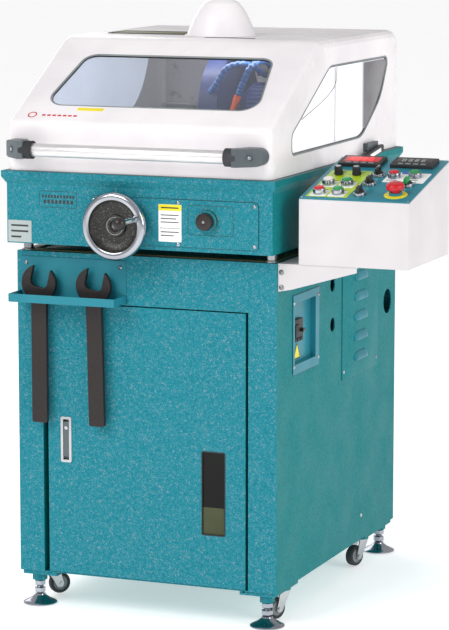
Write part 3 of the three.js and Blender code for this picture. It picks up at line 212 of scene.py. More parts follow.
class Paintbox:
    """Makes each finish's Blender material once."""

    def __init__(self) -> None:
        """Starts with no materials made."""
        self.made: dict[str, bpy.types.Material] = {}

    def material(self, finish: Finish) -> bpy.types.Material:
        """Returns the Blender material of a finish, made on first use."""
        if finish.name not in self.made:
            self.made[finish.name] = self._build(finish)
        return self.made[finish.name]

    def _build(self, finish: Finish) -> bpy.types.Material:
        """Builds a finish's node tree: pattern to colour, roughness and bump of one shader."""
        made = bpy.data.materials.new(finish.name)
        made.use_nodes = True
        tree = made.node_tree
        shader = tree.nodes["Principled BSDF"]
        shader.inputs["Metallic"].default_value = finish.metallic
        if finish.alpha < 1:
            shader.inputs["Alpha"].default_value = finish.alpha
        if finish.glow:
            shader.inputs["Emission Color"].default_value = linear(finish.base)
            shader.inputs["Emission Strength"].default_value = finish.glow
        where = add_node(tree, "ShaderNodeTexCoord").outputs["Object"]
        # Noise repeats about once per unit, so its scale is cells per metre.
        cells = 1000 / finish.grain_mm
        if finish.surface is Surface.HAMMERTONE:
            colour, height = self._hammertone(tree, where, finish, cells)
        elif finish.surface is Surface.BRUSHED:
            colour, height = self._brushed(tree, where, finish, cells)
        elif finish.surface is Surface.CAST:
            colour, height = self._cast(tree, where, finish, cells)
        else:
            colour, height = self._even(tree, where, finish, cells)
        tree.links.new(colour, shader.inputs["Base Color"])
        low, high = max(0.02, finish.roughness * 0.82), min(1.0, finish.roughness * 1.22)
        haze = add_node(tree, "ShaderNodeTexNoise", {"Scale": 11.0, "Detail": 4.0}, {"Vector": where})
        spread = add_node(tree, "ShaderNodeMapRange", {"From Min": 0.3, "From Max": 0.7, "To Min": low,
                                                       "To Max": high}, {"Value": haze.outputs["Fac"]})
        tree.links.new(spread.outputs["Result"], shader.inputs["Roughness"])
        if finish.relief > 0:
            bump = add_node(tree, "ShaderNodeBump", {"Strength": finish.relief, "Distance": 0.0006},
                            {"Height": height})
            tree.links.new(bump.outputs["Normal"], shader.inputs["Normal"])
        if finish.surface is Surface.CLEAR:
            shader.inputs["Specular IOR Level"].default_value = 0.2
        if finish.surface in (Surface.ENAMEL, Surface.HAMMERTONE):
            satin = finish.surface is Surface.HAMMERTONE
            shader.inputs["Coat Weight"].default_value = 0.02 if satin else 0.06
            shader.inputs["Coat Roughness"].default_value = 0.15
            shader.inputs["Specular IOR Level"].default_value = 0.06 if satin else 0.22
        return made

    def _hammertone(self, tree: Any, where: Any, finish: Finish, cells: float) -> tuple[Any, Any]:
        """Grey cells of a few millimetres on the base, drawn a little coarse so that they show; front faces get them as
        painted sheen, other faces a plain deeper teal.
        """
        fine = add_node(tree, "ShaderNodeTexNoise", {"Scale": cells, "Detail": 3.0, "Roughness": 0.7},
                        {"Vector": where})
        wide = add_node(tree, "ShaderNodeTexNoise", {"Scale": cells / 3.1, "Detail": 2.0}, {"Vector": where})
        both = add_node(tree, "ShaderNodeMath", {"operation": "MULTIPLY_ADD", 1: 0.35},
                        {0: wide.outputs["Fac"], 2: fine.outputs["Fac"]})
        base = np.array(linear(finish.base))
        grey = np.array(linear(finish.second))
        dark = tuple((base * (0.52, 0.62, 0.74, 1.0)).tolist())
        cells_and_painted_sheen = ramp(tree, both.outputs["Value"], [
            (0.50, dark), (0.62, tuple(base.tolist())), (0.74, tuple(base.tolist())),
            (0.86, tuple(grey.tolist())), (0.95, tuple((grey * (1.3, 1.25, 1.25, 1.0)).tolist())),
        ])
        # Painted light: faces turned to the front get the grey cells as a painted sheen, faces turned to the sides or
        # up get a plain deeper teal.
        facing = add_node(tree, "ShaderNodeSeparateXYZ", links={
            "Vector": add_node(tree, "ShaderNodeTexCoord").outputs["Normal"]})
        painted_sheen_share = add_node(tree, "ShaderNodeMath", {"operation": "ABSOLUTE"}, {0: facing.outputs["Y"]})
        plain = ramp(tree, both.outputs["Value"], [
            (0.5, linear("#066a70")), (0.66, linear("#0b7a7e")), (0.85, linear("#158789"))])
        mix = add_node(tree, "ShaderNodeMix", {"data_type": "RGBA"})
        tree.links.new(painted_sheen_share.outputs["Value"], mix.inputs["Factor"])
        tree.links.new(plain, mix.inputs["A"])
        tree.links.new(cells_and_painted_sheen, mix.inputs["B"])
        return mix.outputs["Result"], fine.outputs["Fac"]

    def _brushed(self, tree: Any, where: Any, finish: Finish, cells: float) -> tuple[Any, Any]:
        """Fine lines along x: noise squeezed across the lines and stretched along them."""
        stretched = add_node(tree, "ShaderNodeMapping", {"Scale": (0.04, 1.0, 1.0)}, {"Vector": where})
        lines = add_node(tree, "ShaderNodeTexNoise", {"Scale": cells, "Detail": 2.0},
                         {"Vector": stretched.outputs["Vector"]})
        colour = ramp(tree, lines.outputs["Fac"], [(0.35, linear(finish.second)), (0.65, linear(finish.base))])
        return colour, lines.outputs["Fac"]

    def _cast(self, tree: Any, where: Any, finish: Finish, cells: float) -> tuple[Any, Any]:
        """Lumpy skin with the second colour on its high spots: rubbed wear on most finishes, painted highlight on the
        wrinkle enamel.
        """
        lumps = add_node(tree, "ShaderNodeTexNoise", {"Scale": cells, "Detail": 4.0, "Roughness": 0.65},
                         {"Vector": where})
        colour = ramp(tree, lumps.outputs["Fac"], [
            (0.40, linear(finish.base)), (0.56, linear(finish.base)), (0.74, linear(finish.second))])
        return colour, lumps.outputs["Fac"]

    def _even(self, tree: Any, where: Any, finish: Finish, cells: float) -> tuple[Any, Any]:
        """Slow drift between two close shades, and a fine moulded or orange-peel skin."""
        drift = add_node(tree, "ShaderNodeTexNoise", {"Scale": 5.0, "Detail": 3.0}, {"Vector": where})
        skin = add_node(tree, "ShaderNodeTexNoise", {"Scale": cells, "Detail": 2.0}, {"Vector": where})
        colour = ramp(tree, drift.outputs["Fac"], [(0.38, linear(finish.second)), (0.6, linear(finish.base))])
        return colour, skin.outputs["Fac"]


# ------------------------------------------------------------------ shapes
def unit(vector: Any) -> np.ndarray:
    """Scales vectors in the last axis to length 1."""
    array = np.asarray(vector, float)
    return array / np.linalg.norm(array, axis=-1, keepdims=True)


@dataclass(frozen=True)
class Plane:
    """A place to draw: u runs across, v runs up and w comes out of it, in millimetres."""

    origin: tuple[float, float, float]
    across: tuple[float, float, float]
    up: tuple[float, float, float]

    def place(self, points: np.ndarray) -> np.ndarray:
        """Moves (u, v, w) points to datum coordinates: origin + u across + v up + w out."""
        across, up = unit(self.across), unit(self.up)
        return np.asarray(self.origin) + points @ np.stack([across, up, np.cross(across, up)])

    def at(self, u: float, v: float, w: float = 0.0) -> "Plane":
        """Returns the same plane with its origin moved to (u, v, w)."""
        moved = self.place(np.array([[u, v, w]], float))[0]
        return Plane(tuple(moved.tolist()), self.across, self.up)


def front(y: float) -> Plane:
    """A plane facing the operator at depth y: u is x, v is z."""
    return Plane((0, y, 0), (1, 0, 0), (0, 0, 1))


def right(x: float) -> Plane:
    """A plane facing +X at x: u is y, v is z."""
    return Plane((x, 0, 0), (0, 1, 0), (0, 0, 1))


def left(x: float) -> Plane:
    """A plane facing -X at x: u is minus y, v is z."""
    return Plane((x, 0, 0), (0, -1, 0), (0, 0, 1))


def rear(y: float) -> Plane:
    """A plane facing +Y at depth y: u is minus x, v is z."""
    return Plane((0, y, 0), (-1, 0, 0), (0, 0, 1))


def above(z: float) -> Plane:
    """A plane facing up at height z: u is x, v is y."""
    return Plane((0, 0, z), (1, 0, 0), (0, 1, 0))


@dataclass
class Shape:
    """Points in millimetres and the faces between them."""

    points: np.ndarray
    faces: list[list[int]]

    def on(self, plane: Plane) -> "Shape":
        """Returns the shape drawn on a plane."""
        return Shape(plane.place(self.points), self.faces)

    def __add__(self, other: "Shape") -> "Shape":
        """Returns both shapes as one."""
        shift = len(self.points)
        moved = [[i + shift for i in face] for face in other.faces]
        return Shape(np.concatenate([self.points, other.points]), self.faces + moved)


def together(shapes: Sequence[Shape]) -> Shape:
    """Returns several shapes as one."""
    total = shapes[0]
    for shape in shapes[1:]:
        total = total + shape
    return total


def grid_faces(rows: int, columns: int, wrap_rows: bool = False, wrap_columns: bool = False) -> list[list[int]]:
    """The quads of a grid of points stored row by row.

    Args:
        rows: number of rows of points.
        columns: number of points in a row.
        wrap_rows: whether the last row joins the first.
        wrap_columns: whether a row's last point joins its first.

    Returns:
        Four point numbers for each quad.
    """
    r = np.arange(rows if wrap_rows else rows - 1)[:, None]
    c = np.arange(columns if wrap_columns else columns - 1)[None, :]
    r2, c2 = (r + 1) % rows, (c + 1) % columns
    quads = np.stack([r * columns + c, r * columns + c2, r2 * columns + c2, r2 * columns + c], axis=-1)
    return quads.reshape(-1, 4).tolist()


def revolved(profile: Points, segments: int = 48, flutes: int = 0, flute_mm: float = 0.0,
             ring: bool = False) -> Shape:
    """A surface of revolution about w.

    Each (radius, height) pair runs round the axis; the radius may be rippled by flute_mm times the
    cosine of flutes times the angle.

    Args:
        profile: (radius, height) pairs.
        segments: points round the axis.
        flutes: ripples round the axis.
        flute_mm: depth of a ripple.
        ring: whether the profile is a closed loop clear of the axis.

    Returns:
        The closed surface.
    """
    pairs = np.asarray(profile, float)
    turn = np.linspace(0, 2 * np.pi, segments, endpoint=False)
    ripple = flute_mm * np.cos(flutes * turn)[None, :] * (pairs[:, :1] > 0.7 * pairs[:, 0].max())
    radius = pairs[:, :1] + ripple
    points = np.stack([radius * np.cos(turn), radius * np.sin(turn),
                       np.repeat(pairs[:, 1:], segments, axis=1)], axis=-1)
    return Shape(points.reshape(-1, 3), grid_faces(len(pairs), segments, ring, True))


def outward(outline: np.ndarray) -> np.ndarray:
    """Mitred outward directions at the points of a counter-clockwise outline.

    The direction is the sum of the two neighbouring edge normals over one plus their dot product.
    """
    edge = unit(np.roll(outline, -1, axis=0) - outline)
    normal = np.stack([edge[:, 1], -edge[:, 0]], axis=-1)
    before = np.roll(normal, 1, axis=0)
    return (normal + before) / (1 + (normal * before).sum(-1, keepdims=True))


def lofted(outline: Points, profile: Points, ring: bool = False) -> Shape:
    """Carries a profile round a closed outline.

    Each (offset, height) pair of the profile is the outline moved out by the offset and raised to
    the height. The ends are capped unless the profile is a closed ring.

    Args:
        outline: counter-clockwise (u, v) points.
        profile: (offset, height) pairs from the lowest up.
        ring: whether the profile is a closed loop.

    Returns:
        The closed surface.
    """
    flat = np.asarray(outline, float)
    pairs = np.asarray(profile, float)
    spread = flat[None] + outward(flat)[None] * pairs[:, None, :1]
    height = np.broadcast_to(pairs[:, None, 1:], (*spread.shape[:2], 1))
    points = np.concatenate([spread, height], axis=-1).reshape(-1, 3)
    faces = grid_faces(len(pairs), len(flat), ring, True)
    if not ring:
        count = len(flat)
        faces.append(list(range(count))[::-1])
        faces.append(list(range((len(pairs) - 1) * count, len(pairs) * count)))
    return Shape(points, faces)


def plate(outline: Points, thick: float, edge: float = 0.5, low: float = 0.0) -> Shape:
    """A flat plate from low to low + thick with rounded upper edges.

    The rim follows a quarter circle of radius edge at the top.
    """
    t = np.linspace(0, np.pi / 2, 4)
    rim = np.stack([edge * (np.cos(t) - 1), low + thick - edge * (1 - np.sin(t))], axis=-1)
    return lofted(outline, [(0.0, low), *rim.tolist()])


def rounded(corners: Points, radius: float | Sequence[float], steps: int = 6) -> np.ndarray:
    """Rounds the corners of a counter-clockwise polygon.

    Each corner becomes an arc about the point on its bisector that is one radius from both sides.

    Args:
        corners: (u, v) corner points.
        radius: one radius, or one for each corner.
        steps: points on each arc.

    Returns:
        The outline's points.
    """
    corner = np.asarray(corners, float)
    radii = np.broadcast_to(np.asarray(radius, float), (len(corner),))[:, None]
    back = unit(np.roll(corner, 1, axis=0) - corner)
    ahead = unit(np.roll(corner, -1, axis=0) - corner)
    half = np.arccos(np.clip((back * ahead).sum(-1, keepdims=True), -1, 1)) / 2
    centre = corner + unit(back + ahead) * radii / np.sin(half)
    start = corner + back * radii / np.tan(half) - centre
    end = corner + ahead * radii / np.tan(half) - centre
    cross = start[:, :1] * end[:, 1:] - start[:, 1:] * end[:, :1]
    sweep = np.arctan2(cross, (start * end).sum(-1, keepdims=True))
    t = sweep * np.linspace(0, 1, steps)[None, :]
    x = start[:, :1] * np.cos(t) - start[:, 1:] * np.sin(t) + centre[:, :1]
    y = start[:, :1] * np.sin(t) + start[:, 1:] * np.cos(t) + centre[:, 1:]
    return np.stack([x, y], axis=-1).reshape(-1, 2)


def box_outline(u0: float, u1: float, v0: float, v1: float, radius: float = 1.0) -> np.ndarray:
    """A rectangle with rounded corners."""
    return rounded([(u0, v0), (u1, v0), (u1, v1), (u0, v1)], radius)


def circle(radius: float, points: int = 36, u: float = 0.0, v: float = 0.0) -> np.ndarray:
    """A circle's points, counter-clockwise."""
    t = np.linspace(0, 2 * np.pi, points, endpoint=False)
    return np.stack([u + radius * np.cos(t), v + radius * np.sin(t)], axis=-1)


def tube(path: Points, radius: float | Sequence[float], sides: int = 16, across: Sequence[float] = (0, 0, 1),
         closed: bool = False) -> Shape:
    """A round tube along a path: a circle across the path's direction at each of its points.

    Args:
        path: the points the tube's centre follows.
        radius: one radius, or one for each point.
        sides: points round the tube.
        across: a direction the path never runs along.
        closed: whether the path is a loop.

    Returns:
        The closed surface; open paths get flat ends.
    """
    line = np.asarray(path, float)
    ahead = np.roll(line, -1, axis=0) - np.roll(line, 1, axis=0) if closed else np.gradient(line, axis=0)
    side = unit(np.cross(unit(ahead), np.asarray(across, float)))
    lift = np.cross(side, unit(ahead))
    turn = np.linspace(0, 2 * np.pi, sides, endpoint=False)[None, :, None]
    size = np.broadcast_to(np.asarray(radius, float), (len(line),))[:, None, None]
    points = line[:, None] + size * (np.cos(turn) * side[:, None] + np.sin(turn) * lift[:, None])
    faces = grid_faces(len(line), sides, closed, True)
    if not closed:
        faces.append(list(range(sides)))
        faces.append(list(range((len(line) - 1) * sides, len(line) * sides))[::-1])
    return Shape(points.reshape(-1, 3), faces)


def spline(knots: Points, points: int = 40) -> np.ndarray:
    """A smooth curve through knots: Catmull-Rom cubic pieces, sampled evenly in their parameter."""
    knot = np.asarray(knots, float)
    padded = np.concatenate([2 * knot[:1] - knot[1:2], knot, 2 * knot[-1:] - knot[-2:-1]])
    t = np.linspace(0, len(knot) - 1 - 1e-9, points)
    i = t.astype(int)
    s = (t - i)[:, None]
    a, b, c, d = padded[i], padded[i + 1], padded[i + 2], padded[i + 3]
    return 0.5 * (2 * b + (c - a) * s + (2 * a - 5 * b + 4 * c - d) * s**2 + (3 * b - a - 3 * c + d) * s**3)


def dome_head(radius: float, height: float) -> Shape:
    """A screw's domed head standing on w = 0, with a shallow turned recess in its crown."""
    t = np.linspace(0, np.pi / 2, 5)
    arc = np.stack([radius * np.cos(t), height * np.sin(t)], axis=-1)[:-1].tolist()
    return revolved([(0, -0.4), (radius, -0.4), *arc, (radius * 0.34, height), (radius * 0.26, height * 0.55),
                     (0, height * 0.5)], 20)


def hexagon(across: float, low: float, high: float) -> Shape:
    """A hexagonal nut or bolt head with chamfered ends."""
    corners = circle(across / math.sqrt(3), 6)
    chamfer = across * 0.04
    return lofted(corners, [(-chamfer, low), (0, low + chamfer), (0, high - chamfer), (-chamfer, high)])


# ------------------------------------------------------------------ building
@dataclass
class Datum:
    """Turns datum millimetres into the frame's metres."""

    x: float
    y: float

    @classmethod
    def from_frame(cls) -> "Datum":
        """Finds the datum from the cabinet's box: the middle in x and the front in y."""
        low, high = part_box("cabinet_shell")
        return cls((low.x + high.x) / 2, low.y)

    def metres(self, points: np.ndarray) -> np.ndarray:
        """Points in metres: millimetres over 1000, moved by the datum."""
        return points / 1000 + np.array([self.x, self.y, 0.0])


@dataclass
class SubAssembly:
    """Pieces of the machine that are built together."""

    datum: Datum
    paints: Paintbox
    nodes: dict[str, bpy.types.Object]
    made: list[str] = field(default_factory=list)

    def build(self) -> None:
        """Makes every piece of the sub-assembly."""
        raise NotImplementedError

    def piece(self, name: str, shape: Shape, finish: Finish, body: str, stands_for: Sequence[str] = (),
              crease: float = 32.0, wall_mm: float = 0.0) -> bpy.types.Object:
        """Puts a shape into the scene as one piece.

        Args:
            name: the piece's name.
            shape: its surface, in datum millimetres.
            finish: its finish.
            body: the body it rides on.
            stands_for: the frame's nodes that it replaces.
            crease: edges sharper than this many degrees stay sharp.
            wall_mm: thickness given to an open sheet.

        Returns:
            The new object.
        """
        mesh = bpy.data.meshes.new(name)
        mesh.from_pydata(self.datum.metres(shape.points).tolist(), [], shape.faces)
        work = bmesh.new()
        work.from_mesh(mesh)
        bmesh.ops.remove_doubles(work, verts=work.verts, dist=2e-6)
        bmesh.ops.recalc_face_normals(work, faces=work.faces)
        work.to_mesh(mesh)
        work.free()
        return self._finish_piece(name, mesh, finish, body, stands_for, crease, wall_mm)

    def _finish_piece(self, name: str, mesh: bpy.types.Mesh, finish: Finish, body: str,
                      stands_for: Sequence[str], crease: float, wall_mm: float) -> bpy.types.Object:
        """Shades a mesh, gives it its material and hangs it on its body."""
        mesh.polygons.foreach_set("use_smooth", np.ones(len(mesh.polygons), bool))
        mesh.set_sharp_from_angle(angle=math.radians(crease))
        mesh.materials.clear()
        mesh.materials.append(self.paints.material(finish))
        made = bpy.data.objects.new(name, mesh)
        bpy.context.scene.collection.objects.link(made)
        if wall_mm:
            wall = made.modifiers.new("wall", "SOLIDIFY")
            wall.thickness = wall_mm / 1000
            wall.offset = -1.0
        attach(made, body)
        if stands_for:
            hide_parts(*stands_for)
        self.made.append(name)
        return made

    def eased(self, name: str, node: str, finish: Finish, body: str, edge_mm: float = 1.2,
              crease: float = 28.0) -> bpy.types.Object:
        """Replaces a frame node by a merged copy whose edges are rounded over.

        Args:
            name: the piece's name.
            node: the frame's node to copy.
            finish: its finish.
            body: the body it rides on.
            edge_mm: the width of the rounding; 0 leaves the edges sharp.
            crease: edges flatter than this many degrees are left smooth.

        Returns:
            The new object.
        """
        mesh = self.nodes[node].data.copy()
        mesh.name = name
        work = bmesh.new()
        work.from_mesh(mesh)
        bmesh.ops.remove_doubles(work, verts=work.verts, dist=2e-5)
        bmesh.ops.dissolve_limit(work, angle_limit=math.radians(0.4), verts=work.verts, edges=work.edges)
        work.to_mesh(mesh)
        work.free()
        made = self._finish_piece(name, mesh, finish, body, (node,), crease, 0.0)
        if edge_mm:
            bevel = made.modifiers.new("edges", "BEVEL")
            bevel.width = edge_mm / 1000
            bevel.segments = 2
            bevel.limit_method = "ANGLE"
            bevel.angle_limit = math.radians(crease)
            bevel.harden_normals = True
        return made

    def dress(self, node: str, finish: Finish) -> None:
        """Gives a frame node a finish in place of its plain material."""
        mesh = self.nodes[node].data
        material = self.paints.material(finish)
        if not mesh.materials:
            mesh.materials.append(material)
        for index in range(len(mesh.materials)):
            mesh.materials[index] = material
        self.made.append(node)

    def screws(self, name: str, plane: Plane, places: Points, radius: float, height: float,
               finish: Finish, body: str) -> None:
        """Domed screw heads at (u, v) places on a plane, as one piece."""
        heads = [dome_head(radius, height).on(plane.at(u, v)) for u, v in places]
        self.piece(name, together(heads), finish, body)

    def seam(self, name: str, plane: Plane, outline: np.ndarray, body: str) -> None:
        """The dark joint line round a screwed plate."""
        line = lofted(outline, [(0.1, 0), (0.1, 0.35), (0.9, 0.35), (0.9, 0)][::-1], ring=True)
        self.piece(name, line.on(plane), BLACK_FILM, body)

    def bars(self, name: str, plane: Plane, rows: Sequence[tuple[float, float, float, float]], finish: Finish,
             body: str, thick: float = 0.25) -> None:
        """Small raised bars (u0, u1, v0, v1) in place of printed lines, as one piece."""
        marks = [plate(box_outline(u0, u1, v0, v1, min(u1 - u0, v1 - v0) * 0.2), thick, 0.05).on(plane)
                 for u0, u1, v0, v1 in rows]
        self.piece(name, together(marks), finish, body)


# ------------------------------------------------------------------ cabinet
@dataclass
class Cabinet(SubAssembly):
    """The welded cabinet with the fittings on its right side and what is kept inside it."""

    half_width: float = 320.0
    depth: float = 831.0
    top: float = 839.0
    louvre_near: float = 519.0
    louvre_far: float = 609.0
    louvre_height: float = 20.0
    louvre_proud: float = 7.0
    louvre_pitch: float = 48.5
    louvre_middle: float = 646.0
    body: str = "machine"

    def build(self) -> None:
        """Makes the shell, breaker, louvred cover, tank and pump."""
        self.eased("cabinet_body", "cabinet_shell", HAMMERTONE_TEAL, self.body, 1.6)
        self.breaker()
        self.louvred_cover()
        self.coolant_tank()
        self.spacers()

    def breaker(self) -> None:
        """The recessed breaker panel, its breaker with a rocking toggle, and plain labels."""
        side = right(self.half_width + 0.3)
        self.eased("breaker_tray", "breaker_panel", TEAL_ENAMEL, self.body, 0.8)
        self.seam("breaker_panel_seam", side, box_outline(100, 272, 570.5, 753, 7), self.body)
        self.screws("breaker_panel_screws", side.at(0, 0, 1.5), [(106, 588.6), (267, 588.6), (106, 735),
                                                                  (267, 735)], 4.6, 2.4, ZINC, self.body)
        floor = right(self.half_width - 12 + 0.3)
        case = plate(box_outline(116, 176, 642, 694, 2.0), 9, 1.2)
        nose = plate(box_outline(122, 149.5, 654, 682, 1.5), 3.2, 0.8, 8.9)
        ears = [plate(box_outline(118 + k * 19, 131 + k * 19, 644, 651, 1.0), 2.2, 0.5, 8.9) for k in range(3)]
        self.piece("breaker_case", together([case, nose, *ears]).on(floor), BLACK_NYLON, self.body,
                   ("circuit_breaker",))
        self.eased("breaker_rocker", "breaker_toggle", BLACK_PHENOLIC, "breaker_toggle", 1.0)
        self.piece("breaker_rating_plate", plate(box_outline(180, 190, 648, 660, 1), 0.5, 0.2).on(floor),
                   WHITE_FILM, self.body)
        hazard = rounded([(136, 600), (180, 600), (158, 637)], 2.0)
        inner = rounded([(139.5, 602.2), (176.5, 602.2), (158, 633.4)], 1.4)
        self.piece("label_triangle_rim", plate(hazard, 0.4, 0.15).on(floor), BLACK_FILM, self.body)
        self.piece("label_triangle", plate(inner, 0.3, 0.1, 0.35).on(floor), YELLOW_FILM, self.body)

    def louvre(self, middle: float) -> Shape:
        """One pressed louvre, open along its lower edge.

        Its bulge is the quarter cosine of the way up, times a taper that falls to nothing at both
        ends like the fourth root of 1 minus the length to the sixth power.
        """
        s = np.linspace(-1, 1, 33)[None, :]
        t = np.linspace(0, 1, 11)[:, None]
        taper = (1 - np.clip(np.abs(s), 0, 1) ** 6) ** 0.5
        bulge = self.louvre_proud * np.cos(np.pi / 2 * t) ** 0.75 * taper
        u = (self.louvre_near + self.louvre_far) / 2 + s * (self.louvre_far - self.louvre_near) / 2 + 0 * t
        v = middle - self.louvre_height / 2 + t * self.louvre_height * (0.35 + 0.65 * taper)
        points = np.stack([u, v, 1.6 + bulge], axis=-1).reshape(-1, 3)
        return Shape(points, grid_faces(11, 33))

    def louvred_cover(self) -> None:
        """A thin cover with five pressed louvres, each over a black strip of painted shadow."""
        side = right(self.half_width + 0.3)
        levels = [self.louvre_middle + (k - 2) * self.louvre_pitch for k in range(5)]
        sheet = plate(box_outline(434, 693, 503, 789, 3), 1.5, 0.5)
        self.piece("vent_plate", sheet.on(side), HAMMERTONE_TEAL, self.body, ("vent_cover",))
        self.seam("vent_cover_seam", side, box_outline(434, 693, 503, 789, 4), self.body)
        louvres = together([self.louvre(z) for z in levels])
        self.piece("vent_louvres", louvres.on(side), TEAL_ENAMEL, self.body, wall_mm=0.9, crease=60)
        # Painted shadow: a black strip under each louvre, where its opening lies in shade.
        slot_shadows = [plate(box_outline(523, 605, z - 8.5, z + 2, 1), 0.3, 0.1, 1.5) for z in levels]
        self.piece("vent_slot_shadows", together(slot_shadows).on(side), BLACK_FILM, self.body)
        self.screws("vent_screws", side.at(0, 0, 1.5), [(445, 523), (682, 523), (445, 772), (682, 772)], 4.2, 2.2,
                    ZINC, self.body)
        self.screws("side_screw", side, [(582, 146)], 5.0, 2.6, ZINC, self.body)

    def coolant_tank(self) -> None:
        """The coolant tank behind the door window, with its lid, pump and riser hose."""
        ground = above(87.6)
        tank = lofted(box_outline(-190, 232, 130, 560, 22), [(-3, 0), (0, 4), (0, 176), (4, 178), (4, 186), (2, 188)])
        self.piece("coolant_tank", tank.on(ground), CREAM_TANK, self.body)
        motor = revolved([(0, 188.5), (50, 188.5), (50, 196), (44, 198), (44, 300), (38, 312), (0, 316)], 40,
                         30, 1.2)
        self.piece("coolant_pump", motor.on(ground.at(20, 430)), BLUE_ENAMEL, self.body)
        rise = spline([(64, 430, 300), (110, 430, 330), (130, 500, 420), (60, 600, 600), (0, 620, 760),
                       (0, 620, 900)], 60)
        self.piece("coolant_riser", tube(rise, 9.0, 16, (1, 0.2, 0)), GREY_RUBBER, self.body)

    def spacers(self) -> None:
        """Turned spacers between the cabinet and the bed; the spacer frame in dark olive is painted shade of the gap.
        """
        # Painted shade: the spacer frame in dark olive fills the gap between cabinet and bed.
        self.dress("spacer_frame", OLIVE_PAINTED_LIGHT)
        posts = [revolved([(0, 0), (15, 0), (15, 3), (11.5, 5), (11.5, 17), (15, 19), (15, 21.2), (0, 21.2)], 32)
                 .on(above(self.top + 0.5).at(x, y)) for x in (-300, 300) for y in (20, 810)]
        self.piece("bed_spacers", together(posts), ZINC, self.body)


@dataclass
class Undercarriage(SubAssembly):
    """Levelling feet on threaded stems, and swivel casters."""

    foot_x: float = 286.0
    foot_front: float = 33.0
    foot_rear: float = 819.0
    pad_radius: float = 40.0
    wheel_radius: float = 25.5
    wheel_half: float = 10.0

    def build(self) -> None:
        """Makes the four feet and the four casters."""
        for key in ("front_left", "front_right", "rear_left", "rear_right"):
            side = -1 if key.endswith("left") else 1
            depth = self.foot_front if key.startswith("front") else self.foot_rear
            self.foot(key, side * self.foot_x, depth)
            self.caster(key)

    def foot(self, key: str, x: float, y: float) -> None:
        """A bell-shaped pad, a stem with thread ridges and two nuts."""
        r = self.pad_radius
        bell = revolved([(0, 0), (r - 2, 0), (r, 1.2), (r, 3.2), (r - 1.5, 5), (r - 9, 8.6), (r - 17, 12.6),
                         (r - 23, 17), (13, 20.5), (12.2, 23.4), (11, 24.2), (0, 24.2)], 56)
        ridge = np.arange(0, 58, 2.0)
        thread = np.stack([np.stack([7.3 + 0 * ridge, 24 + ridge], -1), np.stack([8.0 + 0 * ridge, 25 + ridge], -1)],
                          axis=1).reshape(-1, 2).tolist()
        stem = revolved([(0, 22), *thread, (0, 84)], 24)
        nuts = hexagon(24, 27.5, 38.5) + hexagon(24, 44.5, 55.5)
        self.piece(f"foot_pad_{key}", (bell + stem + nuts).on(above(0).at(x, y)), CHROME, f"foot_{key}",
                   (f"foot_{key}",), 26)

    def caster(self, key: str) -> None:
        """A pressed fork from the frame, and a tyre on its hub turned about the fork's axle."""
        self.eased(f"caster_yoke_{key}", f"caster_fork_{key}", ZINC, f"caster_fork_{key}", 0.7)
        axle = next(j for j in frame["joints"] if j["name"] == f"caster_roll_{key}")
        spot = (np.array(axle["pos_m"]) - [self.datum.x, self.datum.y, 0]) * 1000
        along = np.array(axle["axis"], float)
        plane = Plane(tuple(spot.tolist()), tuple(np.cross((0, 0, 1), along).tolist()), (0, 0, 1))
        r, h = self.wheel_radius, self.wheel_half
        tyre = revolved([(r - 8, -h + 0.6), (r - 3.5, -h), (r - 1, -h + 2), (r, -h + 5), (r, h - 5), (r - 1, h - 2),
                         (r - 3.5, h), (r - 8, h - 0.6)], 48, ring=True)
        hub = revolved([(5.2, -h), (8.5, -h), (9, -h + 2), (r - 9, -h + 3), (r - 8.2, -h + 0.4), (r - 7.8, -h + 1),
                        (r - 7.8, h - 1), (r - 8.2, h - 0.4), (r - 9, h - 3), (9, h - 2), (8.5, h), (5.2, h)], 40,
                       ring=True)
        self.piece(f"caster_tyre_{key}", tyre.on(plane), RUBBER, f"caster_wheel_{key}", (f"caster_wheel_{key}",))
        self.piece(f"caster_hub_{key}", hub.on(plane), GREY_RUBBER, f"caster_wheel_{key}")


# ------------------------------------------------------------------ door, rack and wrenches
@dataclass
class Door(SubAssembly):
    """The cabinet door with its sight window and flush latch."""

    window: tuple[float, float, float, float] = (139.0, 195.5, 208.0, 401.0)
    latch: tuple[float, float, float, float] = (-213.0, -186.0, 350.0, 457.0)
    body: str = "door"

    def build(self) -> None:
        """Makes the pan, the window drawn opaque near black as painted shade, its seal, the latch and its lever."""
        self.eased("door_pan", "door", HAMMERTONE_TEAL, self.body, 1.4)
        # Painted shade: the opaque near-black pane stands for the shaded inside of the cabinet.
        self.dress("door_window", DARK_PANE_PAINTED_SHADE)
        u0, u1, v0, v1 = self.window
        level = plate(box_outline(u0 + 0.6, u1 - 0.6, v0 + 0.6, v0 + 64, 1), 0.3, 0.1)
        self.piece("window_level", level.on(front(2.2)), LEVEL_FILM, self.body)
        seal = lofted(box_outline(u0, u1, v0, v1, 3), [(0.8, -0.2), (0.8, 0.9), (-1.6, 0.9), (-1.6, -2.2), (0.2, -2.2)],
                      ring=True)
        self.piece("window_seal", seal.on(front(0)), BLACK_NYLON, self.body)
        self.eased("latch_frame", "latch_case", ZINC, self.body, 0.5)
        self.eased("latch_paddle", "latch_lever", SMOKE_GREY, "latch_lever", 0.6)
        a0, a1, b0, b1 = self.latch
        recess = plate(box_outline(a0 + 6.6, a1 - 6.6, b0 + 6.6, b1 - 6.6, 1), 0.4, 0.1).on(front(13.9))
        self.piece("latch_recess", recess, GREY_FILM, self.body)
        lock = revolved([(0, 0), (4.6, 0), (4.6, 1.2), (3.9, 1.8), (2.4, 1.8), (2.2, 1.2), (0, 1.2)], 28)
        self.piece("latch_lock", lock.on(front(-0.4).at((a0 + a1) / 2, b1 - 26)), CHROME, "latch_lever")


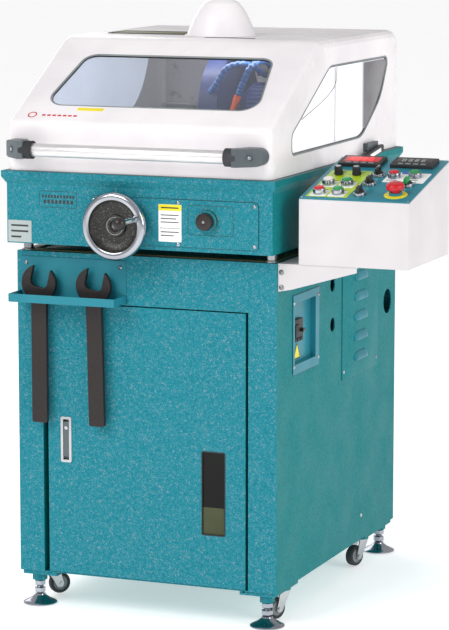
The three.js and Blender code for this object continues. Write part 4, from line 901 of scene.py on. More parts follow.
@dataclass
class WrenchRack(SubAssembly):
    """The tool tray on the cabinet front, with the two flange wrenches that hang in it."""

    body: str = "machine"

    def build(self) -> None:
        """Makes the tray, its screws and both wrenches."""
        self.eased("tool_tray", "wrench_rack", TEAL_ENAMEL, self.body, 0.9)
        self.screws("tray_screws", front(-2.3), [(-295, 812.6), (-60, 811.6)], 4.8, 2.6, CHROME, self.body)
        self.eased("flange_wrench_left", "wrench_left", BLACKENED, "wrench_left", 1.6, 24)
        self.eased("flange_wrench_right", "wrench_right", BLACKENED, "wrench_right", 1.6, 24)


# ------------------------------------------------------------------ bed and its controls
@dataclass
class Bed(SubAssembly):
    """The flared bed casing with its front cover, plates, knob and drain collars."""

    front_y: float = -41.0
    cover_front: float = -43.8
    knob_x: float = 170.0
    knob_z: float = 932.5
    body: str = "machine"

    def build(self) -> None:
        """Makes the casing, the screwed cover, the plates and the adjusting knob."""
        self.eased("bed_shell", "bed_casing", HAMMERTONE_TEAL, self.body, 1.8)
        self.eased("cover_plate", "front_cover", HAMMERTONE_TEAL, self.body, 0.7)
        face = front(self.cover_front)
        self.screws("cover_screws", face, [(283, 969), (283, 880), (100, 971), (100, 876.5), (-106, 969),
                                           (-106, 880)], 4.4, 2.2, CHROME, self.body)
        self.labels(face)
        self.knob()
        lip = lofted(box_outline(-331, 331, -47.5, 836.5, 5), [(0, 0), (0, 0.8), (-5, 0.8), (-5, 0)], ring=True)
        self.piece("rim_seal", lip.on(above(1027.7)), GREY_RUBBER, self.body)

    def labels(self, face: Plane) -> None:
        """Plates where the machine carries its notices, filled with plain bars."""
        self.piece("notice_plate", plate(box_outline(53, 108.5, 882, 966, 1.5), 0.6, 0.2).on(face), WHITE_FILM,
                   self.body)
        self.piece("notice_header", plate(box_outline(53.4, 108.1, 952, 965.6, 1.2), 0.3, 0.1, 0.6).on(face),
                   YELLOW_FILM, self.body)
        rows = [(59, 102, 957, 960), (59, 102, 941, 943), (59, 96, 933, 935), (59, 102, 925, 927),
                (57, 105, 912, 912.8), (59, 102, 903, 905), (59, 90, 895, 897)]
        self.bars("notice_bars", face.at(0, 0, 0.6), rows, BLACK_FILM, self.body, 0.35)
        u = [125, 232, 901, 966]
        self.seam("cover_inset_line", face, box_outline(*u, 4), self.body)
        self.seam("cover_seam", front(self.front_y), box_outline(-115, 292, 871.5, 977.5, 10), self.body)
        casing = front(self.front_y)
        first = [(-236 + k * 7.6, -231.4 + k * 7.6, 968, 975) for k in range(11)]
        second = [(-232 + k * 9.6, -226 + k * 9.6, 955, 964) for k in range(8)]
        self.bars("casing_bars", casing, first + second, BLACK_FILM, self.body)
        self.seam("name_plate_line", casing, box_outline(-242, -150, 947, 983, 4), self.body)
        self.piece("emblem_plate", plate(box_outline(-322, -263, 864, 914, 1.5), 0.6, 0.2).on(casing), GREY_FILM,
                   self.body)
        plain = [(-314, -271, 900, 904), (-314, -271, 887, 891), (-314, -289, 874, 878)]
        self.bars("emblem_bars", casing.at(0, 0, 0.6), plain, BLACK_FILM, self.body, 0.35)

    def knob(self) -> None:
        """A fluted knob on a brass collar."""
        at = front(0).at(self.knob_x, self.knob_z)
        collar = revolved([(20.5, 44), (25, 44), (25, 49.6), (24, 50.9), (20.5, 50.9)], 56, ring=True)
        self.piece("knob_collar", collar.on(at), OLIVE_BRASS, self.body)
        knob = revolved([(0, 51.6), (18.5, 51.6), (19.6, 53), (19.6, 63), (18.8, 65.6), (16.6, 67.4), (12, 68),
                         (7, 68), (6.4, 67.2), (3.4, 67.2), (3.1, 66), (0, 66)], 96, 24, 0.35)
        self.piece("knob_grip", knob.on(at), BLACK_PHENOLIC, "adjusting_knob", ("adjusting_knob",))
        bolt = hexagon(6, 66.2, 67.4)
        self.piece("knob_screw", bolt.on(at), ZINC, "adjusting_knob")


@dataclass
class Handwheel(SubAssembly):
    """The dished handwheel and its turning crank handle."""

    x: float = -41.8
    z: float = 915.0
    crank_radius: float = 58.0
    crank_angle: float = 19.0
    rim_radius: float = 76.5
    front_y: float = -85.0

    def build(self) -> None:
        """Makes the bright rim, the black dish and hub, and the handle with its ball."""
        at = front(0).at(self.x, self.z)
        r = self.rim_radius
        rim = revolved([(59.2, 80), (60, 83.6), (63.5, 85), (69, 85), (73, 83.4), (r, 78), (r, 71), (74.6, 62.5),
                        (71, 58.2), (65, 57), (60.5, 58), (59.2, 61)], 112, ring=True)
        self.piece("handwheel_rim", rim.on(at), CHROME, "handwheel", ("handwheel",), 50)
        dish = revolved([(0, 68.6), (11, 68.6), (13, 71.6), (21, 71.6), (23.8, 70.6), (24.6, 68), (26, 64.2),
                         (34, 62.8), (46, 64.4), (55, 69), (59.4, 76), (59.6, 62), (54, 59.6), (30, 58), (22, 52),
                         (20.5, 48.3), (0, 48.3)], 96)
        self.piece("handwheel_dish", dish.on(at), WRINKLE_BLACK, "handwheel")
        ring = revolved([(18.4, 71.4), (19.0, 72.2), (20.4, 72.2), (21, 71.4), (21, 71.0), (18.4, 71.0)], 64, ring=True)
        self.piece("hub_ring", ring.on(at), GROUND_STEEL, "handwheel")
        nut = revolved([(0, 68), (6.6, 68), (6.6, 72.4), (5.6, 73.6), (0, 73.6)], 32)
        self.piece("hub_nut", nut.on(at), GROUND_STEEL, "handwheel")
        shaft = revolved([(0, -60), (10, -60), (10, 48.4), (0, 48.4)], 40)
        self.piece("feed_shaft", shaft.on(at), GROUND_STEEL, "handwheel")
        a = math.radians(self.crank_angle)
        place = at.at(self.crank_radius * math.cos(a), self.crank_radius * math.sin(a))
        boss = revolved([(0, 66), (8.6, 66), (8.6, 83), (7.6, 84), (0, 84)], 40)
        self.piece("crank_boss", boss.on(place), BLACKENED, "handwheel")
        shank = revolved([(0, 85.4), (7.4, 85.4), (8, 86.4), (8, 92), (7, 95), (6.6, 98), (7.1, 112), (7.1, 124),
                          (6.4, 136), (5.5, 148), (5.2, 158), (0, 158)], 48)
        self.piece("crank_shank", shank.on(place), CHROME, "crank_handle", ("crank_handle",), 24)
        t = np.linspace(0, np.pi, 25)
        ball = np.stack([15 * np.sin(t), 170.2 - 15 * np.cos(t)], axis=-1)
        self.piece("crank_ball", revolved(ball, 56).on(place), BLACK_PHENOLIC, "crank_handle")


@dataclass
class CuttingHead(SubAssembly):
    """What the hood covers: the table and vise, the motor, the guarded wheel and its hoses."""

    axis_y: float = 430.0
    axis_z: float = 1145.0

    def build(self) -> None:
        """Makes the table, vise, motor, wheel, guard, hoses and lamp."""
        self.eased("slotted_table", "work_table", GROUND_STEEL, "work_table", 0.8)
        self.vise()
        self.eased("guard_shell", "wheel_guard", BLUE_ENAMEL, "machine", 0.8)
        axis = right(0).at(self.axis_y, self.axis_z)
        motor = revolved([(0, 75), (16, 75), (16, 74.4), (38, 74.4), (42, 77), (60, 98), (61.6, 101), (61.6, 262),
                          (60, 266), (60, 284), (55, 288), (0, 288)], 120, 40, 1.4)
        self.piece("spindle_motor", motor.on(axis), BLUE_ENAMEL, "machine", ("spindle_head",), 50)
        foot = plate(box_outline(112, 270, 356, 504, 10), 156, 3, 961.3)
        self.piece("motor_pedestal", foot.on(above(0)), BLUE_ENAMEL, "machine")
        lid = plate(box_outline(150, 232, 388, 472, 8), 30, 4, self.axis_z + 52)
        self.piece("terminal_cover", lid.on(above(0)), BLACK_NYLON, "machine")
        disc = revolved([(0, 31.5), (121.4, 31.5), (122, 32), (122, 34), (121.4, 34.5), (0, 34.5)], 128)
        self.piece("abrasive_wheel", disc.on(axis), BOND, "cutting_wheel", ("cutting_wheel",))
        flanges = revolved([(0, 26), (34, 26), (38, 28), (38, 31.4), (0, 31.4)], 64) + revolved(
            [(0, 34.6), (38, 34.6), (38, 38), (34, 40), (12, 40), (12, 73), (0, 73)], 64) + hexagon(26, 17, 26.1)
        self.piece("wheel_flanges", flanges.on(axis), GROUND_STEEL, "cutting_wheel")
        self.hoses()
        lamp = plate(box_outline(-200, 250, 300, 332, 6), 12, 2).on(above(1297))
        self.piece("lamp_bar", lamp, LAMP_WHITE, "hood")
        liner = plate(box_outline(-300, 300, 1040, 1290, 12), 2, 0.6).on(front(830))
        ledge = plate(box_outline(-300, 300, 802, 828, 6), 3, 1).on(above(1118))
        self.piece("back_liner", liner + ledge, LINER, "hood")

    def vise(self) -> None:
        """A quick vise on the table: base, fixed and moving jaws, screw and handle."""
        table = above(1010.3)
        base = plate(box_outline(-186, -46, 250, 520, 6), 26, 2)
        fixed = plate(box_outline(-186, -46, 470, 512, 4), 78, 2.5)
        moving = plate(box_outline(-176, -56, 352, 392, 4), 72, 2.5, 0.2)
        self.piece("vise_body", (base + fixed + moving).on(table), BLUE_ENAMEL, "work_table")
        jaws = plate(box_outline(-180, -52, 462, 470.2, 1), 70, 0.8, 27) + plate(
            box_outline(-172, -60, 391.8, 399, 1), 66, 0.8, 27)
        self.piece("vise_jaws", jaws.on(table), GROUND_STEEL, "work_table")
        at = front(0).at(-116, 1058)
        screw = revolved([(0, -352), (10, -352), (10, -262), (15, -260), (15, -236), (12, -232), (0, -232)], 32)
        bar = tube([(-52, 0, -246), (0, 0, -246), (52, 0, -246)], [4, 4, 4], 14, (0, 1, 0))
        self.piece("vise_screw", (screw + bar).on(at), CHROME, "work_table")

    def hoses(self) -> None:
        """Jointed coolant hoses: a tube whose radius swells at each joint."""
        swell = 6.0 + 1.8 * np.abs(np.sin(np.linspace(0, 15 * np.pi, 120)))
        upper = spline([(165, 400, 1226), (158, 350, 1262), (138, 306, 1252), (120, 300, 1215), (108, 300, 1186)], 120)
        tip = spline([(107, 300, 1185), (101, 300, 1170), (93, 300, 1150), (88, 302, 1136)], 60)
        near = spline([(140, 400, 1226), (120, 330, 1256), (84, 296, 1250), (60, 288, 1214), (40, 292, 1190)], 120)
        self.piece("coolant_hose_right", tube(upper, swell, 14, (0.3, 0.2, 1)), HOSE_BLUE, "machine", crease=60)
        self.piece("coolant_hose_left", tube(near, swell, 14, (0.2, 0.3, 1)), HOSE_BLUE, "machine", crease=60)
        taper = np.concatenate([np.full(20, 8.0), np.linspace(7.4, 3.2, 40)])
        self.piece("hose_nozzle", tube(tip, taper, 18, (0.3, 0.2, 1)), ORANGE_HOSE, "machine")
        block = plate(box_outline(122, 186, 384, 414, 4), 30, 2, 1226.5)
        self.piece("coolant_manifold", block.on(above(0)), BLACK_NYLON, "machine")
        tap = revolved([(0, 0), (8, 0), (9, 2), (9, 12), (7.4, 14), (0, 14)], 48, 12, 0.4)
        for name, x, z, finish in (("upper", 168, 1248, YELLOW_FILM), ("lower", 168, 1222, RED_CAP)):
            self.piece(f"coolant_tap_{name}", tap.on(front(384).at(x, z)), finish, "machine")


# ------------------------------------------------------------------ hood
@dataclass
class Hood(SubAssembly):
    """The splash hood with its windows, roof dome, grab bar and interlock."""

    half_width: float = 322.0
    front_y: float = -44.0
    apron_z: float = 1140.0
    slope_y: float = 266.0
    roof_z: float = 1318.0
    dome_x: float = 28.0
    dome_y: float = 394.0
    bar_y: float = -90.0
    bar_z: float = 1081.0
    body: str = "hood"

    def build(self) -> None:
        """Makes the shell, the glazing, the dome, the bar and the switch."""
        self.eased("hood_skin", "hood_shell", WHITE_ENAMEL, self.body, 1.6, 26)
        self.dress("front_window", CLEAR_SHEET)
        self.dress("side_window_right", MILKY_SHEET)
        self.dress("side_window_left", GREY_SHEET)
        self.gaskets()
        self.dome()
        self.roof_fittings()
        self.bar()
        self.interlock()

    def gaskets(self) -> None:
        """Rubber sections gripping the windows' edges: a hollow lip and a thin bright filler."""
        rise = self.roof_z - self.apron_z
        run = self.slope_y - self.front_y
        slope = Plane((0, self.front_y, self.apron_z), (1, 0, 0), (0, run, rise))
        pane = rounded([(-258, 69), (266, 69), (236, 280), (-228, 280)], [42, 42, 34, 34], 14)
        lip = [(-2.4, -3.6), (1.5, 0.1), (1.4, 0.7), (0.2, 1.1), (-1.6, 0.8), (-2.8, -0.8), (-2.8, -3.6)]
        self.piece("front_gasket", lofted(pane, lip, ring=True).on(slope), GREY_RUBBER, self.body, crease=70)
        seat = [(-2.9, -4.3), (-2.9, -1.2), (-3.9, -1.2), (-3.9, -4.3)]
        self.piece("front_gasket_inner", lofted(pane, seat, ring=True).on(slope), BLACK_NYLON, self.body)
        side = rounded([(84, 1072), (560, 1074), (700, 1160), (759, 1257), (336, 1257), (84, 1119)],
                       [16, 110, 150, 16, 70, 24], 12)
        self.piece("side_gasket_right", lofted(side, lip, ring=True).on(right(self.half_width)), GREY_RUBBER,
                   self.body, crease=70)
        mirrored = (side * (-1, 1))[::-1]
        self.piece("side_gasket_left", lofted(mirrored, lip, ring=True).on(left(-self.half_width)), GREY_RUBBER,
                   self.body, crease=70)
        for name, plane, outline in (("right", right(self.half_width), side), ("left", left(-self.half_width), mirrored)):
            self.piece(f"side_gasket_{name}_inner", lofted(outline, seat, ring=True).on(plane), BLACK_NYLON, self.body)
        # Painted shade: a grey film over the rear part of the right side sheet, where the hood's inside lies dark
        # behind it.
        rear = rounded([(577, 1091), (640, 1124), (700, 1176), (752, 1251), (577, 1251)], [3, 60, 120, 12, 3], 10)
        self.piece("side_sheet_painted_shade", plate(rear, 0.3, 0.1).on(right(self.half_width - 0.9)), SHADE_AND_LINE_GREY,
                   self.body)
        seams = [spline([(384, 1251, 0), (375, 1214, 0), (318, 1188, 0), (232, 1166, 0), (150, 1148, 0)], 30),
                 np.array([(372, 1250, 0), (372, 1080, 0)], float)]
        beads = together([tube(path, 0.8, 8) for path in seams])
        self.piece("side_sheet_beads", beads.on(right(self.half_width - 0.6)), SHADE_AND_LINE_GREY, self.body)
        stop = revolved([(8.2, 0), (11, 0), (11, 0.3), (8.2, 0.3)], 40, ring=True)
        place = slope.at(-268, 28)
        self.piece("apron_ring", stop.on(place), RED_FILM, self.body)
        rows = [(-244 + k * 13, -235 + k * 13, 25, 31) for k in range(7)]
        self.bars("apron_bars", slope, rows, RED_FILM, self.body)
        self.piece("apron_strip", plate(box_outline(-166, -102, 50, 61, 1.5), 0.3, 0.1).on(slope), YELLOW_FILM,
                   self.body)

    def dome(self) -> None:
        """The roof dome over its flange, with a flat dark cap."""
        z = self.roof_z + 0.3
        shares = np.array([(0.985, 0.08), (0.94, 0.2), (0.865, 0.36), (0.77, 0.55), (0.66, 0.72), (0.52, 0.875),
                           (0.34, 0.97), (0.2, 1.0)])
        steps = np.linspace(0, 1, 40)
        stations = np.linspace(0, 1, len(shares))
        wall = np.stack([80.5 * np.interp(steps, stations, shares[:, 0]),
                         z + 88 * np.interp(steps, stations, shares[:, 1])], axis=-1)
        wall[1:-1] = (wall[:-2] + 2 * wall[1:-1] + wall[2:]) / 4
        dome = revolved([(0, z), (85.4, z), (86, z + 0.8), (85.4, z + 2.6), (80.6, z + 3), *wall.tolist(),
                         (0, z + 88)], 96)
        self.piece("dome_cover", dome.on(above(0).at(self.dome_x, self.dome_y)), WHITE_ENAMEL, self.body,
                   ("roof_dome",), 40)
        cap = revolved([(0, z + 87.6), (15, z + 87.6), (15, z + 88.2), (14, z + 88.5), (0, z + 88.6)], 64)
        self.piece("dome_cap", cap.on(above(0).at(self.dome_x, self.dome_y)), BLACK_NYLON, self.body)

    def roof_fittings(self) -> None:
        """On the roof: an olive patch with a dark rim, painted reflection, and a black strip, painted shadow line in
        front of the dome.
        """
        roof = above(self.roof_z)
        # Painted reflection: an olive patch with a dark rim on the roof's left.
        rim = lofted(box_outline(-267, -55, 392, 500, 10), [(0, 0), (0, 1.6), (-7, 1.6), (-7, 0)], ring=True)
        self.piece("roof_reflection_patch_rim", rim.on(roof), BLACK_NYLON, self.body)
        self.piece("roof_reflection_patch", plate(box_outline(-260, -62, 399, 493, 6), 0.9, 0.2).on(roof), OLIVE_PAINTED_LIGHT, self.body)
        # Painted shade: a black strip for the shadow line in front of the dome's flange.
        slot = plate(box_outline(24, 150, 298, 304, 2.5), 1.2, 0.4)
        self.piece("roof_shadow_line", slot.on(roof), BLACK_NYLON, self.body)

    def bar(self) -> None:
        """The grab tube between rubber sockets, and its end brackets with recessed screws."""
        axis = right(0).at(self.bar_y, self.bar_z)
        tube_wall = revolved([(13, -252), (15, -252), (15.2, -251.6), (15.2, 251.6), (15, 252), (13, 252)], 64,
                             ring=True)
        self.piece("grab_tube", tube_wall.on(axis), ANODISED, self.body, ("grab_bar",))
        for name, side in (("left", -1), ("right", 1)):
            self.eased(f"bar_bracket_{name}", f"handle_end_{name}", SMOKE_GREY, self.body, 1.8, 24)
            sleeve = [(15.4, 233.6), (19.2, 232.4), (20.4, 233.4), (20.5, 261), (20.3, 262.2), (15.4, 262.2)]
            socket = revolved([(r, side * h) for r, h in sleeve], 56, ring=True)
            self.piece(f"bar_socket_{name}", socket.on(axis), RUBBER, self.body)
            face = Plane((side * 289, -89.2, self.bar_z), (1, side * 0.81, 0), (0, 0, 1))
            well = lofted(circle(8.6, 36), [(0, -3.0), (0, 1.2), (-1.0, 1.6), (-2.2, 1.2), (-2.4, -3.0)], ring=True)
            self.piece(f"bracket_well_{name}", well.on(face), SMOKE_GREY, self.body)
            # Painted shade: a black disc at the bottom of the well around the screw.
            floor = plate(circle(6.4, 28), 0.5, 0.1, -1.0)
            self.piece(f"bracket_hole_shade_{name}", floor.on(face), BLACK_FILM, self.body)
            screw = revolved([(0, -0.6), (4.6, -0.6), (4.6, 1.0), (3.9, 1.6), (2.2, 1.6), (2.0, 0.4), (0, 0.4)], 24)
            self.piece(f"bracket_screw_{name}", screw.on(face), CHROME, self.body)

    def interlock(self) -> None:
        """The hood switch on the bed's rim with a plain label, and its actuator on the hood."""
        self.eased("switch_body", "interlock_switch", BLACK_NYLON, "machine", 1.4)
        self.eased("switch_actuator", "interlock_actuator", SMOKE_GREY, self.body, 1.4)
        tilt = math.radians(7)
        face = Plane((345.9, 592, 1033), (0, math.cos(tilt), math.sin(tilt)),
                     (0, -math.sin(tilt), math.cos(tilt)))
        self.piece("switch_label", plate(box_outline(-34, 44, -4.6, 4.6, 1), 0.4, 0.1).on(face), WHITE_FILM, "machine")


# ------------------------------------------------------------------ control desk
class Cap(Enum):
    """The colour of a push-button's cap."""

    RED = "red"
    GREEN = "green"
    IVORY = "ivory"


CAP_FINISH = {Cap.RED: RED_CAP, Cap.GREEN: GREEN_CAP, Cap.IVORY: WHITE_CAP}


@dataclass
class ControlDesk(SubAssembly):
    """The white desk on its bracket, with its panel of displays, buttons and knobs."""

    left_x: float = 370.5
    front_z: float = 986.0
    rise: float = 65.5
    depth: float = 288.0
    width: float = 256.0
    panel: float = 2.8
    bezel_height: float = 13.0
    body: str = "machine"

    @property
    def desk(self) -> Plane:
        """The sloping top: u runs across, v up the slope."""
        return Plane((self.left_x, 0, self.front_z), (1, 0, 0), (0, self.depth, self.rise))

    def build(self) -> None:
        """Makes the box, the bracket and everything on the panel."""
        self.eased("desk_box", "control_box", DESK_COAT, self.body, 1.6)
        self.eased("desk_bracket", "control_arm", DESK_COAT, self.body, 1.0)
        self.screws("bracket_screws", front(4), [(329, 820), (329, 786)], 6.2, 3.2, ZINC, self.body)
        self.panel_face()
        self.displays()
        self.buttons()
        self.selectors()
        self.speed_knobs()
        self.emergency_stop()

    def panel_face(self) -> None:
        """The teal panel with a lime field, white fields and corner screws."""
        length = math.hypot(self.depth, self.rise)
        sheet = plate(box_outline(0.4, self.width - 0.4, 0.4, length - 0.4, 2), 2.5, 0.5, 0.3)
        self.piece("desk_panel", sheet.on(self.desk), TEAL_ENAMEL, self.body, ("control_panel",))
        field_plane = self.desk.at(0, 0, self.panel)
        self.piece("white_field", plate(box_outline(150, 246, 128, 196, 3), 0.2, 0.05).on(field_plane), WHITE_FILM,
                   self.body)
        self.piece("lime_field", plate(box_outline(11, 107, 12, 196, 3), 0.2, 0.05, 0.2).on(field_plane), LIME_FILM,
                   self.body)
        pads = [plate(box_outline(x - 19, x + 19, y - 21, y + 20, 3), 0.2, 0.05, 0.4).on(field_plane)
                for x, y in ((36, 37), (79, 37), (36, 99), (79, 99))]
        self.piece("button_pads", together(pads), WHITE_FILM, self.body)
        self.piece("blue_field", plate(box_outline(178, 208, 186, 204, 2), 0.3, 0.1, 0.2).on(field_plane), BLUE_FILM,
                   self.body)
        rows = [(x - 12, x + 12, y, y + 2.6) for x, y in ((36, 60), (79, 60), (36, 122), (79, 122), (217, 132),
                                                          (169, 140), (216, 145), (36, 188), (79, 188))]
        self.bars("panel_bars", field_plane.at(0, 0, 0.5), rows, BLACK_FILM, self.body)
        ticks = np.linspace(-2.3, 2.3, 9)
        marks = [plate(box_outline(-0.5, 0.5, 14.5, 17.5, 0.2), 0.2, 0.05, 0.4).on(
            Plane(tuple(field_plane.place(np.array([[x, y, 0.0]]))[0].tolist()),
                  tuple((unit(np.array(self._turned(float(a))))).tolist()),
                  tuple((unit(np.array(self._turned(float(a) + math.pi / 2)))).tolist())))
                 for x, y in ((36, 167), (78, 169)) for a in ticks]
        self.piece("speed_ticks", together(marks), BLACK_FILM, self.body)
        self.screws("panel_screws", field_plane, [(5, 5), (251, 5), (5, 290), (251, 290)], 2.6, 1.4, ZINC, self.body)

    def _turned(self, angle: float) -> tuple[float, float, float]:
        """A direction in the desk's plane, turned from across by an angle: cos across + sin up."""
        plane = self.desk
        across, up = unit(plane.across), unit(plane.up)
        return tuple((math.cos(angle) * across + math.sin(angle) * up).tolist())

    def displays(self) -> None:
        """Two meter housings with inset windows, one lit red and one dark."""
        for name, u0, u1, v0, v1, lit in (("left", 13, 115, 224, 281, True), ("right", 136, 238, 227, 281, False)):
            plane = self.desk.at(0, 0, self.panel)
            case = plate(box_outline(u0, u1, v0, v1, 3), 8.8, 1.5)
            self.piece(f"meter_case_{name}", case.on(plane), BLACK_NYLON, self.body)
            glass = plate(box_outline(u0 + 9, u1 - 9, v0 + 14, v1 - 8, 2), 0.4, 0.15, 8.8)
            self.piece(f"meter_window_{name}", glass.on(plane), RED_FILM if lit else BLACK_PHENOLIC, self.body)
            digits = [(u0 + 22 + k * 15, u0 + 30 + k * 15, v0 + 24, v0 + 40) for k in range(4)]
            strokes = [box for a, b, c, d in digits for box in (
                (a, b, c, c + 1.8), (a, b, d - 1.8, d), (a, b, (c + d) / 2 - 0.9, (c + d) / 2 + 0.9),
                (a, a + 1.8, c, d), (b - 1.8, b, c, d))]
            self.bars(f"meter_digits_{name}", plane.at(0, 0, 9.2), strokes, RED_LED if lit else GREY_FILM, self.body,
                      0.15)
            keys = [plate(box_outline(u0 + 18 + k * 18, u0 + 30 + k * 18, v0 + 4, v0 + 10, 1), 1.0, 0.4, 8.8)
                    for k in range(4)]
            self.piece(f"meter_keys_{name}", together(keys).on(plane), GREY_RUBBER, self.body)

    def bezel(self, height: float, radius: float = 14.5, bore: float = 11.5) -> Shape:
        """A turned bezel ring with a rolled upper lip."""
        low = self.panel - 0.2
        top = self.panel + height
        return revolved([(bore, low), (radius, low), (radius, top - 3.5), (radius - 0.8, top - 1), (radius - 2.2, top),
                         (bore + 0.2, top), (bore, top - 0.6)], 48, ring=True)

    def buttons(self) -> None:
        """Lit push-buttons: a chrome bezel, a domed cap and its stem."""
        caps = {"button_lamp_off": (36, 36, Cap.RED), "button_lamp_on": (79, 38, Cap.GREEN),
                "button_coolant_off": (36, 98, Cap.IVORY), "button_coolant_on": (79, 100, Cap.GREEN),
                "button_stop": (169, 162, Cap.RED), "button_start": (216, 168, Cap.GREEN)}
        top = self.panel + self.bezel_height
        bezels = [self.bezel(self.bezel_height).on(self.desk.at(u, v)) for u, v, _ in caps.values()]
        self.piece("button_bezels", together(bezels), CHROME, self.body)
        cap_shape = revolved([(0, -8), (10.8, -8), (10.9, top + 1.2), (10.2, top + 2.6), (8.8, top + 3.3),
                              (4.5, top + 3.7), (0, top + 3.8)], 48)
        for name, (u, v, cap) in caps.items():
            self.piece(f"{name}_cap", cap_shape.on(self.desk.at(u, v)), CAP_FINISH[cap], name, (name,), 40)

    def selectors(self) -> None:
        """Two-way selectors: a chrome bezel, a black base and a raised lever with a white line."""
        places = {"selector_front": (130, 36), "selector_middle": (130, 105), "selector_back": (130, 168),
                  "selector_mode": (217, 107)}
        bezels = [self.bezel(8.0).on(self.desk.at(u, v)) for u, v in places.values()]
        self.piece("selector_bezels", together(bezels), CHROME, self.body)
        base = self.panel + 8.6
        for name, (u, v) in places.items():
            plane = self.desk.at(u, v)
            finish = GREEN_CAP if name == "selector_mode" else BLACK_PHENOLIC
            post = revolved([(0, -8), (10.8, -8), (10.8, base + 0.8), (9.8, base + 2), (0, base + 2)], 40)
            self.piece(f"{name}_base", post.on(plane), BLACK_NYLON, name, (name,))
            lever = plate(box_outline(-4.4, 4.4, -13.6, 12.6, 3.6), 12, 2.2, base + 1.8)
            self.piece(f"{name}_lever", lever.on(plane), finish, name)
            line = plate(box_outline(-0.8, 0.8, 2, 11, 0.4), 0.2, 0.05, base + 13.8)
            self.piece(f"{name}_line", line.on(plane), WHITE_FILM, name)

    def speed_knobs(self) -> None:
        """Fluted knobs with a skirt, a bright cap and a white line."""
        for name, (u, v) in {"speed_knob_left": (36, 167), "speed_knob_right": (78, 169)}.items():
            plane = self.desk.at(u, v)
            knob = revolved([(0, -8), (3, -8), (3, 4.4), (10.2, 4.6), (10.5, 5.2), (10.5, 7.6), (9.4, 8.4), (9.0, 12),
                             (8.4, 22), (7.6, 23.6), (0, 23.8)], 72, 18, 0.35)
            self.piece(f"{name}_grip", knob.on(plane), BLACK_NYLON, name, (name,))
            cap = revolved([(0, 23.4), (6.2, 23.4), (6.0, 24.0), (0, 24.1)], 36)
            self.piece(f"{name}_cap", cap.on(plane), ZINC, name)

    def emergency_stop(self) -> None:
        """A red mushroom head over a yellow ring, with turning arrows left off."""
        plane = self.desk.at(211, 43)
        ring = revolved([(15.2, 2.6), (26, 2.6), (26, 4.6), (25.2, 5.3), (15.2, 5.3)], 64, ring=True)
        self.piece("stop_ring", ring.on(plane), YELLOW_FILM, self.body)
        collar = revolved([(11.5, 2.6), (15, 2.6), (15, 9.8), (14, 10.8), (11.5, 10.8)], 48, ring=True)
        self.piece("stop_collar", collar.on(plane), TEAL_ENAMEL, self.body)
        base = self.panel + 15
        head = revolved([(0, -8), (10.8, -8), (10.8, base - 1), (18, base - 0.4), (19.6, base + 0.8), (20, base + 3),
                         (20, base + 8), (19.2, base + 11), (17, base + 13), (13, base + 14.2), (8, base + 14.8),
                         (0, base + 15)], 72)
        self.piece("stop_head", head.on(plane), RED_CAP, "emergency_stop", ("emergency_stop",), 40)


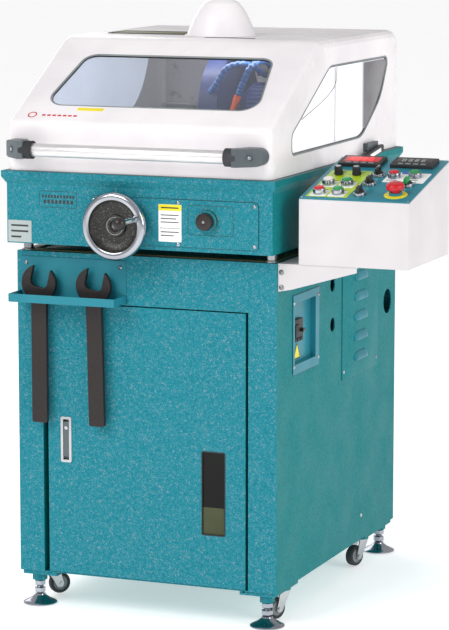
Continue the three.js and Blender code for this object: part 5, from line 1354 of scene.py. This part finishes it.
# ------------------------------------------------------------------ stage
@dataclass
class Stage:
    """The pale floor, the soft lights and the camera."""

    datum: Datum
    azimuth: float = 21.88
    elevation: float = 8.79
    distance: float = 6285.8
    target: tuple[float, float, float] = (194.2, 0.0, 717.0)
    lens: float = 160.24

    def build(self) -> None:
        """Makes the floor, the lights and the camera."""
        self.floor()
        self.light("key_light", (-1900, -4300, 4300), 3.2, 172)
        self.light("fill_light", (5200, -900, 2500), 3.0, 94)
        self.light("rim_light", (-2800, 3400, 2400), 2.4, 30)
        world = bpy.data.worlds.new("studio")
        bpy.context.scene.world = world
        world.use_nodes = True
        tree = world.node_tree
        background = tree.nodes["Background"]
        background.inputs["Color"].default_value = linear("#ffffff")
        seen = add_node(tree, "ShaderNodeLightPath").outputs["Is Camera Ray"]
        level = add_node(tree, "ShaderNodeMapRange", {"To Min": 0.5, "To Max": 1.05}, {"Value": seen})
        tree.links.new(level.outputs["Result"], background.inputs["Strength"])
        bpy.context.scene.view_settings.view_transform = "Standard"
        self.camera()

    def floor(self) -> None:
        """A wide pale floor with a faint mottle."""
        size = 40.0
        mesh = bpy.data.meshes.new("studio_floor")
        mesh.from_pydata([(-size, -size, 0), (size, -size, 0), (size, size, 0), (-size, size, 0)], [], [(0, 1, 2, 3)])
        made = bpy.data.objects.new("studio_floor", mesh)
        bpy.context.scene.collection.objects.link(made)
        paint = Paintbox().material(Finish("seamless_paper_white", Surface.PRINTED, "#ffffff", "#fbfbfb",
                                           "white_paint", 0.85, 0.0, 12.0, 0.0, 1.0, 0.45))
        mesh.materials.append(paint)

    def light(self, name: str, place: tuple[float, float, float], size: float, power: float) -> None:
        """A square soft light that faces the machine's middle."""
        data = bpy.data.lights.new(name, "AREA")
        data.size = size
        data.energy = power
        made = bpy.data.objects.new(name, data)
        bpy.context.scene.collection.objects.link(made)
        spot = self.datum.metres(np.array(place, float))
        middle = self.datum.metres(np.array([100.0, 300.0, 750.0]))
        made.location = Vector(spot.tolist())
        made.rotation_euler = Vector((middle - spot).tolist()).to_track_quat("-Z", "Y").to_euler()

    def camera(self) -> None:
        """The camera on a sphere about its target: azimuth from the front, elevation above the floor."""
        a, e = math.radians(self.azimuth), math.radians(self.elevation)
        back = np.array([math.sin(a) * math.cos(e), -math.cos(a) * math.cos(e), math.sin(e)])
        data = bpy.data.cameras.new("camera")
        data.lens = self.lens
        data.sensor_width = 36.0
        data.clip_end = 100.0
        made = bpy.data.objects.new("camera", data)
        bpy.context.scene.collection.objects.link(made)
        spot = self.datum.metres(np.array(self.target) + back * self.distance)
        made.location = Vector(spot.tolist())
        made.rotation_euler = Vector((-back).tolist()).to_track_quat("-Z", "Y").to_euler()
        bpy.context.scene.camera = made


def main() -> None:
    """Builds every sub-assembly in order, then the stage, and reports each piece."""
    logging.basicConfig(level=logging.INFO, format="%(name)s: %(message)s")
    datum = Datum.from_frame()
    paints = Paintbox()
    for kind in (Cabinet, Undercarriage, Door, WrenchRack, Bed, Handwheel, CuttingHead, Hood, ControlDesk):
        group = kind(datum, paints, frame["nodes"])
        group.build()
        for name in group.made:
            LOG.info("%s: %s", kind.__name__, name)
    Stage(datum).build()


if __name__ == "__main__":
    main()
